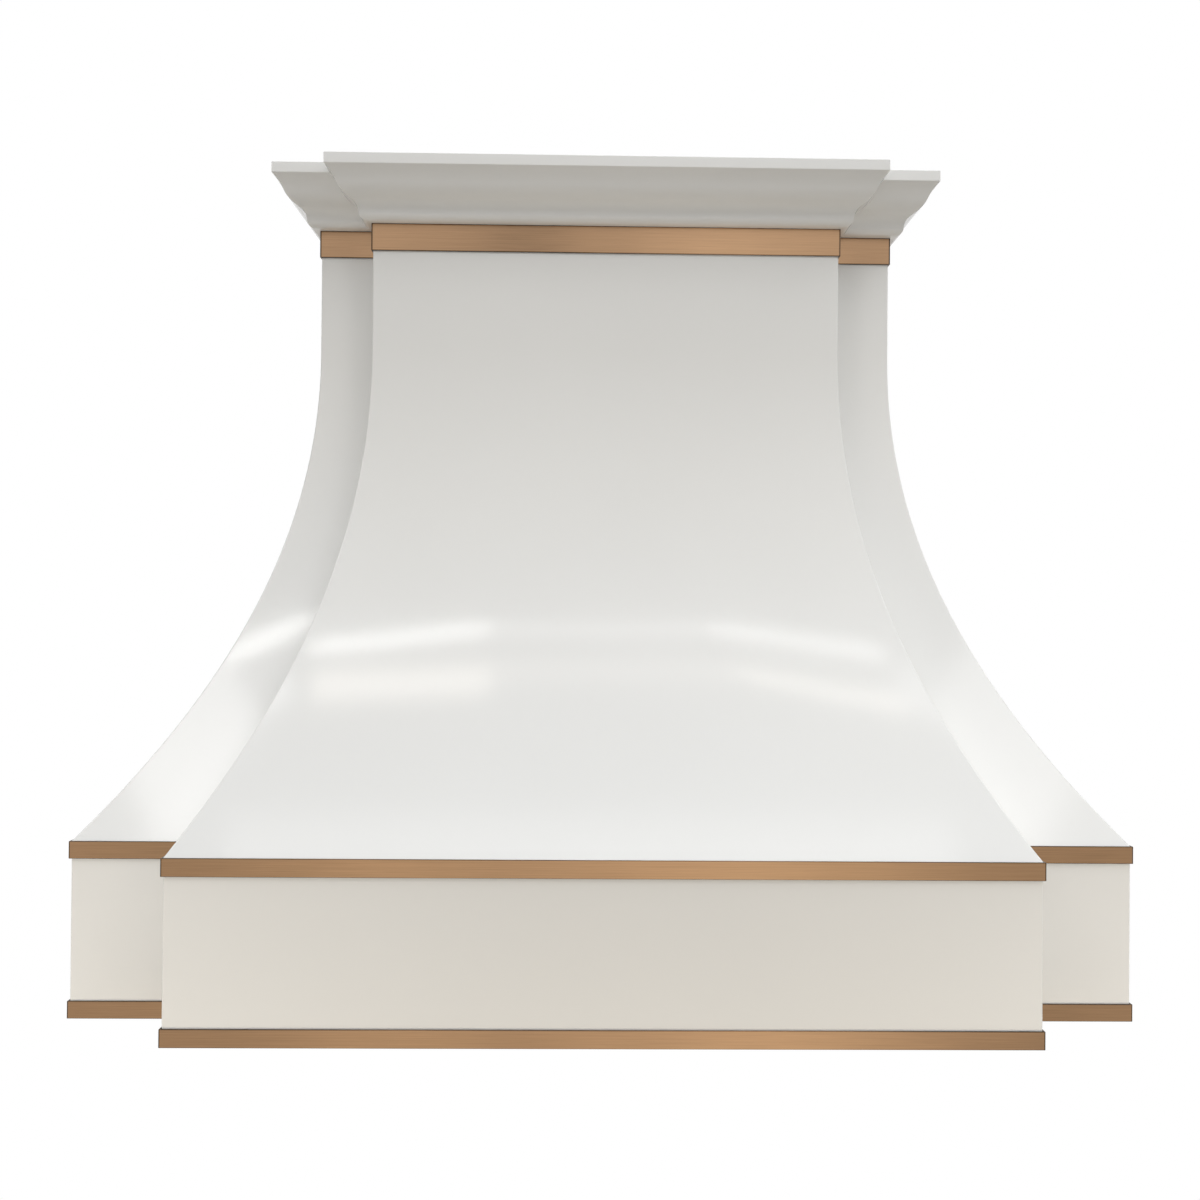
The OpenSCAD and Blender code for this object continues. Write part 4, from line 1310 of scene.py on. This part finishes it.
@dataclass
class Filters:
    """The three baffle filters: pressed frame, channel slats and a bent wire handle."""

    names: tuple[str, ...] = ("left", "centre", "right")
    pitch: float = 0.325
    width: float = 0.305
    front: float = -0.3967
    back: float = -0.0287
    foot: float = 0.0375
    height: float = 0.022
    lip: float = 0.012
    sheet: float = 0.001
    corner: float = 0.004
    edge: float = 0.0005
    stud: Flat = (-0.0347, 0.0435)
    stud_radius: float = 0.003
    stud_reach: float = 0.0095
    slat_width: float = 0.027
    slat_height: float = 0.008
    slat_sheet: float = 0.0007
    slat_pitch: float = 0.042
    slats: int = 7
    handle_length: float = 0.070
    handle_drop: float = 0.018
    handle_radius: float = 0.0025
    handle_bend: float = 0.007

    @property
    def left(self) -> float:
        """X of the middle filter's left edge."""
        return -self.width / 2

    def build_frame(self) -> Piece:
        """Presses the frame from a box: rounded corners, open lips, studs and corner rivets.

        Returns:
            The middle filter's frame.
        """
        x, end, top = self.left, self.left + self.width, self.foot + self.height
        bench = block("frame", (x, self.front, self.foot), (end, self.back, top))
        middle = (self.foot + top) / 2
        bench.pick(lambda spot: abs(abs(spot.z - z(middle)) - self.height / 2) < CLOSE, "FACE")
        bpy.ops.mesh.inset(thickness=self.lip, depth=0.0)
        bpy.ops.mesh.delete(type="FACE")
        bench.round_level(middle, self.corner, 4)
        parts = [finish_mesh(bench.done(), self.edge, 2, self.sheet)]
        for start, tip in ((x - self.stud_reach, x), (end, end + self.stud_reach)):
            parts.append(finish_mesh(rod("stud", (start, *self.stud), (tip, *self.stud), self.stud_radius), self.edge))
        inset, foot = self.lip / 2, self.foot
        dome = ((0.0, foot - 0.0009), (0.0012, foot - 0.0008), (0.0022, foot - 0.0003), (0.0025, foot),
                (0.0, foot + 0.0005))
        for rivet_x in (x + inset, end - inset):
            for rivet_y in (self.front + inset, self.back - inset):
                parts.append(finish_mesh(lathe("rivet", rivet_x, rivet_y, dome, 16)))
        return join(parts, "frame")

    def build_slats(self) -> Piece:
        """Rolls one channel slat, repeats it, and mirrors the row for the upper slats between.

        Returns:
            The middle filter's slats.
        """
        first = self.left + (self.width - self.slat_width - (self.slats - 1) * self.slat_pitch) / 2
        wall, roll, bend = 0.0015, 0.0011, 0.002
        foot, right = self.foot + self.sheet, self.slat_width
        top = foot + self.slat_height - roll
        run = Run(RIGHT, (first, self.front + wall), -FRONT, self.back - self.front - 2 * wall)
        bench = Bench("slats")
        pen = Pen(bench, run, (2 * roll, top))
        pen.arc(roll, top, 180.0, 6)
        pen.to((0.0, foot + bend))
        pen.arc(bend, foot + bend, 90.0, 5)
        pen.to((right - bend, foot))
        pen.arc(right - bend, foot + bend, 90.0, 5)
        pen.to((right, top))
        pen.arc(right - roll, top, 180.0, 6)
        bench.sweep(run.along * run.length)
        bench.weld(outwards=False)
        bench.whole()
        for _ in range(self.slats - 1):
            bpy.ops.mesh.duplicate_move(TRANSFORM_OT_translate={"value": RIGHT * self.slat_pitch})
        lower = bench.done()
        bench = Bench.around(copy_of(lower, "upper_slats", (self.slat_pitch / 2, 0.0, 0.0)))
        last = first + (self.slats - 0.5) * self.slat_pitch
        bench.pick(lambda spot: spot.x > last - 0.001)
        bpy.ops.mesh.delete(type="VERT")
        bench.scale((1.0, 1.0, -1.0), (0.0, 0.0, z(self.foot + self.height / 2)))
        bpy.ops.mesh.flip_normals()
        return finish_mesh(join([lower, bench.done()], "slats"), wall=self.slat_sheet)

    def build_handle(self) -> Piece:
        """Bends the handle from wire and sets it on two domed feet.

        Returns:
            The middle filter's handle.
        """
        half, radius, foot = self.handle_length / 2, self.handle_radius, self.foot
        y, top, low = self.front + self.lip / 2, foot + 0.0006, foot - self.handle_drop
        bow = ((-half, y, top), (-half, y, low), (half, y, low), (half, y, top))
        parts = [wire("handle", bow, radius, self.handle_bend)]
        dome = ((0.0, foot - 0.0022), (radius + 0.0008, foot - 0.0022), (radius + 0.0022, foot - 0.001),
                (radius + 0.0028, foot), (0.0, foot))
        parts += [finish_mesh(lathe("foot", x, y, dome, 20), 0.0003) for x in (-half, half)]
        return join(parts, "handle")

    def build(self) -> None:
        """Builds one filter and copies it to its neighbours."""
        for node, piece, finish in (("filter_frame", self.build_frame(), Palette.liner),
                                    ("baffle_slats", self.build_slats(), Palette.baffle),
                                    ("filter_handle", self.build_handle(), Palette.polished)):
            for number, name in enumerate(self.names, -1):
                twin = copy_of(piece, f"{node}_{name}_formed", (number * self.pitch, 0.0, 0.0))
                place_piece(twin, finish, f"{node}_{name}", body=f"filter_{name}")
            bpy.data.objects.remove(piece)


@dataclass
class Lamps:
    """The four lamps: turned bezel, ringed lens and finned housing."""

    places: tuple[float, ...] = (-0.450, -0.170, 0.170, 0.450)
    y: float = -0.478
    seat: float = 0.0375

    def row(self, name: str, profile: Sequence[Flat], finish: Finish, node: str) -> None:
        """Turns one part of a lamp and repeats it in the row.

        Args:
            name: Name of the piece.
            profile: Its closed profile of radius and height over the seat, in millimetres.
            finish: Its finish.
            node: The node that it stands for.
        """
        points = [(radius / 1000, self.seat + height / 1000) for radius, height in profile]
        first = finish_mesh(lathe(name, self.places[0], self.y, points, 64), 0.0002)
        others = [copy_of(first, name, (x - self.places[0], 0.0, 0.0)) for x in self.places[1:]]
        place_piece(join([first, *others], name), finish, node)

    def build(self) -> None:
        """Builds the three parts of the lamps."""
        bezel = [(37.0, 0.0), (37.0, -0.9), (36.4, -1.7), (35.2, -2.3), (33.6, -2.5), (31.2, -2.4), (29.6, -1.9),
                 (28.2, -1.0), (27.2, 0.0), (37.0, 0.0)]
        lens = [(0.0, 0.9), (9.0, 0.85)]
        for radius in (10.0, 14.0, 18.0, 22.0):
            lens += [(radius, 0.8), (radius + 1.2, 0.35), (radius + 2.6, 0.75)]
        lens += [(26.4, 0.4), (28.7, 0.1), (28.7, 3.0), (0.0, 3.0)]
        can = [(29.1, 0.1), (30.0, 0.1), (30.0, 7.0)]
        for height in (8.0, 12.0, 16.0, 20.0):
            can += [(28.6, height), (28.6, height + 1.6), (30.0, height + 2.2), (30.0, height + 3.4)]
        can += [(29.4, 25.6), (27.0, 27.4), (22.0, 28.0), (8.0, 28.0), (0.0, 28.0)]
        self.row("lamp_bezel_row", bezel, Palette.polished, "lamp_bezels")
        self.row("lamp_lens_row", lens, Palette.lens, "lamp_lenses")
        self.row("lamp_can_row", can, Palette.aluminium, "lamp_housings")


@dataclass
class Controls:
    """The switch panel with its trims and its four dished buttons."""

    places: tuple[float, ...] = (-0.060, -0.020, 0.020, 0.060)
    y: float = -0.564
    width: float = 0.200
    depth: float = 0.044
    corner: float = 0.007
    edge: float = 0.0009
    face: float = 0.0345
    seat: float = 0.0375
    button: float = 0.008
    collar: float = 0.0094
    stem: float = 0.0025
    out: float = 0.004
    hole: float = 0.0084

    def build_panel(self) -> None:
        """Rounds the panel, bores it and adds a turned trim round each bore."""
        half, deep, face, hole = self.width / 2, self.depth / 2, self.face, self.hole
        bench = block("panel", (-half, self.y - deep, face), (half, self.y + deep, self.seat))
        bench.round_level((face + self.seat) / 2, self.corner, 8)
        bench.pick_level(face, "FACE")
        bpy.ops.mesh.bevel(offset=self.edge, segments=3, affect="EDGES")
        panel = bench.done()
        bores = [rod("bore", (x, self.y, face - 0.001), (x, self.y, self.seat + 0.001), hole, 48) for x in self.places]
        place_piece(finish_mesh(drill(panel, bores)), Palette.panel, "control_panel")
        ring = ((hole, face + 0.0003), (hole + 0.0001, face - 0.0003), (hole + 0.0006, face - 0.0006),
                (hole + 0.0012, face - 0.0005), (hole + 0.0016, face + 0.0001), (hole, face + 0.0003))
        trims = [finish_mesh(lathe("trim", x, self.y, ring, 48)) for x in self.places]
        place_piece(join(trims, "button_trims"), Palette.polished)

    def build_buttons(self) -> None:
        """Turns one dished button with its collar and stem, and copies it."""
        face, seat, top = self.face - self.out, self.seat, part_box("push_button_1")[1][2] - BASE
        profile = ((0.0, face + 0.0011), (0.003, face + 0.0009), (0.0055, face + 0.0003), (0.0066, face),
                   (0.0074, face + 0.0001), (self.button, face + 0.0008), (self.button, seat + 0.0003),
                   (self.collar, seat + 0.0003), (self.collar, seat + 0.0017), (self.stem, seat + 0.0018),
                   (self.stem, top - 0.0004), (self.stem - 0.0004, top), (0.0, top))
        first = finish_mesh(lathe("button", self.places[0], self.y, profile, 40), 0.0002)
        for number, x in enumerate(self.places, 1):
            button = copy_of(first, f"push_button_{number}_dished", (x - self.places[0], 0.0, 0.0))
            place_piece(button, Palette.polished, f"push_button_{number}", body=f"button_{number}")
        bpy.data.objects.remove(first)

    def build(self) -> None:
        """Builds panel and buttons."""
        self.build_panel()
        self.build_buttons()


@dataclass
class Duct:
    """The outlet box and the collar that a round duct slides over."""

    y: float = -0.150
    box_foot: float = 0.3246
    foot: float = 0.3746
    half: float = 0.117
    radius: float = 0.1008
    height: float = 0.122
    flange: float = 0.012
    sheet: float = 0.0012
    bead: float = 0.062
    bead_half: float = 0.004
    bead_rise: float = 0.0022
    fold: float = 0.0012
    rolled: float = 0.0006
    corner: float = 0.003
    edge: float = 0.0008
    rivets: int = 12

    def build_box(self) -> None:
        """Folds the outlet box, bores its roof and rivets its edge."""
        low, high = (-self.half, self.y - self.half, self.box_foot), (self.half, self.y + self.half, self.foot)
        bench = block("outlet", low, high)
        bench.round_level((self.box_foot + self.foot) / 2, self.corner, 4)
        bench.pick_level(self.box_foot, "FACE")
        bpy.ops.mesh.delete(type="FACE")
        shell = finish_mesh(bench.done(), self.edge, 2, self.sheet)
        bore = rod("bore", (0.0, self.y, self.foot - 0.02), (0.0, self.y, self.foot + 0.01),
                   self.radius - self.sheet, 96)
        parts = [finish_mesh(drill(shell, [bore]))]
        reach, top = self.radius + self.flange / 2, self.foot + self.sheet
        dome = ((0.0, top - 0.0006), (0.0026, top - 0.0006), (0.0026, top + 0.0002), (0.0019, top + 0.0008),
                (0.0, top + 0.0011))
        for number in range(self.rivets):
            angle = 2 * math.pi * (number + 0.5) / self.rivets
            x, y = reach * math.cos(angle), self.y + reach * math.sin(angle)
            parts.append(finish_mesh(lathe("rivet", x, y, dome, 14)))
        place_piece(join(parts, "outlet_box_folded"), Palette.rail, "outlet_box")

    def build_collar(self) -> None:
        """Turns the collar with its foot flange, stop bead and rolled end."""
        r, inner, rim = self.radius, self.radius - self.sheet, self.radius + self.flange
        foot, top, bead = self.foot, self.foot + self.height, self.foot + self.bead
        seam, fold, half, rolled = foot + self.sheet, self.fold, self.bead_half, self.rolled
        profile = [(inner, foot), (rim, foot), (rim, seam), (r + fold, seam), (r, seam + fold), (r, bead - half)]
        for angle in (math.radians(degrees) for degrees in range(20, 181, 20)):
            profile.append((r + self.bead_rise * math.sin(angle), bead - half * math.cos(angle)))
        profile += [(r, top - rolled), (r - rolled, top), (inner, top - 0.0004), (inner, foot)]
        place_piece(finish_mesh(lathe("collar", 0.0, self.y, profile, 96)), Palette.rail, "duct_collar")

    def build(self) -> None:
        """Builds box and collar."""
        self.build_box()
        self.build_collar()


@dataclass
class Fastenings:
    """The liner's domed cross-head screws."""

    under: float = 0.036
    head: float = 0.0044
    rise: float = 0.002
    shank: float = 0.002
    top: float = 0.0407
    slot_half: Flat = (0.0021, 0.0005)
    slot_depth: float = 0.0012
    places: tuple[Flat, ...] = ((0.600, -0.460), (0.600, -0.290), (0.600, -0.120), (0.5415, -0.5245), (0.113, -0.6005),
                                (0.339, -0.6005))

    def build(self) -> None:
        """Turns one screw, sinks its cross and copies it along the ledge."""
        places = [(side * x, y) for x, y in self.places for side in (-1, 1)]
        (x, y), (long, short) = places[0], self.slot_half
        u, head, rise = self.under, self.head, self.rise
        profile = ((0.0, u - rise), (head * 0.35, u - rise * 0.97), (head * 0.65, u - rise * 0.78),
                   (head * 0.88, u - rise * 0.45), (head, u - rise * 0.12), (head, u), (self.shank, u),
                   (self.shank, self.top), (0.0, self.top))
        screw = lathe("screw", x, y, profile, 28)
        cross = [block("bar", (x - a, y - b, u - 0.004), (x + a, y + b, u - rise + self.slot_depth)).done()
                 for a, b in ((long, short), (short, long))]
        first = finish_mesh(drill(screw, cross))
        others = [copy_of(first, "screw", (px - x, py - y, 0.0)) for px, py in places[1:]]
        place_piece(join([first, *others], "liner_screw_set"), Palette.screw, "liner_screws")


@dataclass
class Loom:
    """The sleeved wiring loom from the junction box down to the switches, with its ties."""

    radius: float = 0.0038
    bend: float = 0.014
    tie_half: float = 0.0022
    tie_wall: float = 0.0009
    wall_y: float = -0.4052
    route: tuple[Spot, ...] = ((-0.230, -0.100, 0.3289), (-0.125, -0.100, 0.3289), (-0.125, -0.4052, 0.3289),
                               (-0.125, -0.4052, 0.0442), (-0.125, -0.564, 0.0442), (-0.100, -0.564, 0.0442))
    ties: tuple[Spot, ...] = ((-0.125, -0.180, 0.3289), (-0.125, -0.300, 0.3289), (-0.125, -0.4052, 0.240),
                              (-0.125, -0.4052, 0.130), (-0.125, -0.480, 0.0442))

    def build(self) -> None:
        """Bends the sleeve and puts a tie with its lock round it where it is held."""
        parts = [wire("loom", self.route, self.radius, self.bend)]
        for tie in self.ties:
            spot = Vector(tie)
            half = (UP if tie[1] == self.wall_y else -FRONT) * self.tie_half
            lock = spot + RIGHT * self.radius
            parts.append(finish_mesh(rod("tie", spot - half, spot + half, self.radius + self.tie_wall, 20), 0.0006))
            knob = block("lock", lock - Vector((0.0006, 0.002, 0.002)), lock + Vector((0.0032, 0.002, 0.002)))
            parts.append(finish_mesh(knob.done(), 0.0005))
        place_piece(join(parts, "wiring_loom_sleeved"), Palette.plastic, "wiring_loom")


@dataclass(frozen=True)
class SoftLight:
    """A rectangular studio light. turn is in radians about its beam; gloss shows only a mirrored one."""

    name: str
    place: Spot
    aim: Spot
    size: Flat
    power: float
    colour: tuple[float, float, float] = (1.0, 1.0, 1.0)
    turn: float = 0.0
    mirrored: bool = False

    def build(self) -> None:
        """Adds the light, aimed at its point."""
        lamp = bpy.data.lights.new(self.name, "AREA")
        lamp.shape = "RECTANGLE"
        lamp.size, lamp.size_y = self.size
        lamp.energy, lamp.color = self.power, self.colour
        light = bpy.data.objects.new(self.name, lamp)
        bpy.context.scene.collection.objects.link(light)
        aim = (Vector(self.aim) - Vector(self.place)).to_track_quat("-Z", "Y").to_matrix().to_4x4()
        light.matrix_world = Matrix.Translation(self.place) @ aim @ Matrix.Rotation(self.turn, 4, "Z")
        light.visible_glossy, light.visible_camera = self.mirrored, False


def strip(name: str, start: Flat, end: Flat, width: float, power: float, warmth: float = 0.0) -> SoftLight:
    """A slim light under the ceiling, between two plan points, which shows in the coat as a soft streak.

    Args:
        name: Its name.
        start: Plan point of one end.
        end: Plan point of the other end.
        width: Its width.
        power: Its power in watts.
        warmth: 0 for white, 1 for warm.

    Returns:
        The light.
    """
    ceiling = 1.9
    middle = ((start[0] + end[0]) / 2, (start[1] + end[1]) / 2)
    run = (end[0] - start[0], end[1] - start[1])
    colour = (1.0, 1.0 - 0.1 * warmth, 1.0 - 0.24 * warmth)
    return SoftLight(name, (*middle, ceiling), (*middle, 0.0), (math.hypot(*run), width), power, colour,
                     math.atan2(run[1], run[0]), True)


@dataclass
class Studio:
    """Camera, lights, world and floor.

    fade holds the distances from the plan point (0, fade_y) between which the floor turns white, and fade_start is
    the share of white nearer than that.
    """

    eye: Spot = (-0.0226, -1.6859, -0.0588)
    lens: float = 30.0
    yaw: float = -0.0130
    pitch: float = 0.0062
    roll: float = 0.0083
    sensor: float = 36.0
    clip: Flat = (0.05, 60.0)
    shift_up: float = 0.00275
    floor_height: float = -2.13
    floor_radius: float = 14.0
    floor_tone: float = 0.86
    floor_bounce: float = 0.22
    fade_y: float = -0.3
    fade: Flat = (0.35, 1.6)
    fade_start: float = 0.5
    world_level: float = 0.25
    lights: tuple[SoftLight, ...] = (
        SoftLight("overhead", (0.6, -1.15, 2.6), (0.0, -0.4, 0.0), (2.6, 1.6), 44.4, (0.97, 0.985, 1.0)),
        SoftLight("overhead_back", (0.0, -0.15, 2.4), (0.0, -0.45, -0.2), (2.4, 0.6), 6.0),
        SoftLight("left_fill", (-2.6, -2.0, 0.9), (-0.5, -0.4, -0.1), (1.4, 1.8), 0.8),
        SoftLight("right_fill", (2.6, -2.0, 0.9), (0.5, -0.4, -0.1), (1.4, 1.8), 1.3),
        SoftLight("left_wall", (-2.8, 0.8, 0.4), (-0.4, -0.2, 0.0), (1.6, 1.6), 11.0),
        SoftLight("right_wall", (2.8, 0.8, 0.4), (0.4, -0.2, 0.0), (1.6, 1.6), 11.0),
        SoftLight("hob_bounce", (0.0, -1.2, -1.0), (0.0, -0.55, -0.45), (2.8, 0.3), 6.7, (1.0, 0.87, 0.68)),
        SoftLight("low_left", (-1.0, -1.15, -0.5), (-0.5, -0.53, -0.43), (0.5, 0.4), 1.75, (1.0, 0.96, 0.9)),
        SoftLight("low_right", (1.0, -1.15, -0.5), (0.5, -0.53, -0.43), (0.5, 0.4), 1.5, (1.0, 0.96, 0.9)),
        SoftLight("right_top", (1.2, -0.6, 1.8), (0.5, -0.45, -0.3), (0.8, 0.6), 4.6),
        SoftLight("wing_box_left", (-1.6, -1.85, 1.9), (-0.5, -0.45, -0.2), (0.5, 1.1), 6.4, mirrored=True),
        SoftLight("wing_box_right", (1.85, -2.1, 1.8), (0.5, -0.45, -0.2), (0.6, 1.8), 7.1, mirrored=True),
        SoftLight("back_box", (0.0, -1.0, 1.9), (0.0, -0.6, -0.3), (2.4, 0.3), 3.4, mirrored=True),
        strip("far_left", (-1.02, -1.69), (-0.38, -1.79), 0.036, 1.15),
        strip("far_middle", (-0.38, -1.78), (0.43, -1.79), 0.05, 0.4),
        strip("far_right", (0.43, -1.80), (1.06, -1.68), 0.036, 0.75),
        strip("near_left", (-0.99, -1.53), (-0.36, -1.565), 0.11, 1.05, 0.6),
        strip("near_middle", (-0.40, -1.60), (0.52, -1.60), 0.08, 0.35, 0.6),
        strip("near_right", (0.52, -1.60), (1.11, -1.47), 0.03, 0.5, 0.6),
        strip("wing_left", (-1.42, -2.02), (-1.12, -2.22), 0.06, 1.1),
    )

    def camera(self) -> None:
        """Places the camera at the photographed viewing angle."""
        data = bpy.data.cameras.new("camera")
        data.lens, data.sensor_width, data.sensor_fit = self.lens, self.sensor, "AUTO"
        data.shift_y = self.shift_up
        data.clip_start, data.clip_end = self.clip
        eye = bpy.data.objects.new("camera", data)
        bpy.context.scene.collection.objects.link(eye)
        turn = Matrix.Rotation(self.yaw, 4, "Z") @ Matrix.Rotation(math.pi / 2 + self.pitch, 4, "X")
        eye.matrix_world = Matrix.Translation(self.eye) @ turn @ Matrix.Rotation(self.roll, 4, "Z")
        bpy.context.scene.camera = eye

    def world(self) -> None:
        """A soft even world, which the camera, gloss and glass see as plain white."""
        world = bpy.data.worlds.new("studio")
        world.use_nodes = True
        graph = Graph.on(world.node_tree)
        back = world.node_tree.nodes["Background"]
        graph.feed(back.inputs["Strength"], graph.seen() * (1.0 - self.world_level) + self.world_level)
        graph.feed(back.inputs["Color"], (1.0, 1.0, 1.0, 1.0))
        bpy.context.scene.world = world

    def floor(self) -> None:
        """A wide pale floor, well below the hung hood, which fades to white away from the shadow."""
        bpy.ops.object.select_all(action="DESELECT")
        bpy.ops.mesh.primitive_circle_add(vertices=96, radius=self.floor_radius, fill_type="NGON",
                                          location=(0.0, 0.0, self.floor_height))
        floor = bpy.context.object
        floor.name = "floor"
        graph = Graph("pale_floor")
        x, y, _ = graph.place()
        y = y - self.fade_y
        far, seen = ((x * x + y * y) ** 0.5).step(*self.fade), graph.seen()
        dull, pale = ((*[tone] * 3, 1.0) for tone in (self.floor_bounce, self.floor_tone))
        graph.drive(Base_Color=graph.mix(seen, dull, pale), Roughness=0.7)
        white = graph.add("ShaderNodeEmission", sockets={"Color": (1.0, 1.0, 1.0, 1.0), "Strength": 1.0})
        plain = Signal(graph, graph.shader.outputs[0])
        share = seen * (far * (1.0 - self.fade_start) + self.fade_start)
        blend = graph.add("ShaderNodeMixShader", sockets={0: share, 1: plain, 2: white})
        graph.feed(graph.tree.nodes["Material Output"].inputs["Surface"], blend)
        floor.data.materials.append(graph.material)

    def build(self) -> None:
        """Sets up the whole studio."""
        bpy.context.scene.view_settings.view_transform = "Standard"
        self.camera()
        self.world()
        self.floor()
        for light in self.lights:
            light.build()
        LOG.info("studio: %d lights", len(self.lights))


def dress_nodes() -> None:
    """Gives every CAD node the finish of its material slot."""
    slots = {part["node"]: part["material_slot"] for part in frame["record"]["subparts"]}
    finishes = Palette.by_slot()
    for name, node in frame["nodes"].items():
        finish = finishes[slots[name]]
        if not node.material_slots:
            node.data.materials.append(None)
        for holder in node.material_slots:
            holder.material = finish.material()
        LOG.info("%s: %s", name, finish.name)


def main() -> None:
    """Builds the studio and every sub-assembly in order."""
    Studio().build()
    dress_nodes()
    for part in (Shell(), Bands(), Crown(), Filters(), Lamps(), Controls(), Duct(), Fastenings(), Loom()):
        part.build()
        LOG.info("%s done", type(part).__name__)


if __name__ == "__main__":
    main()
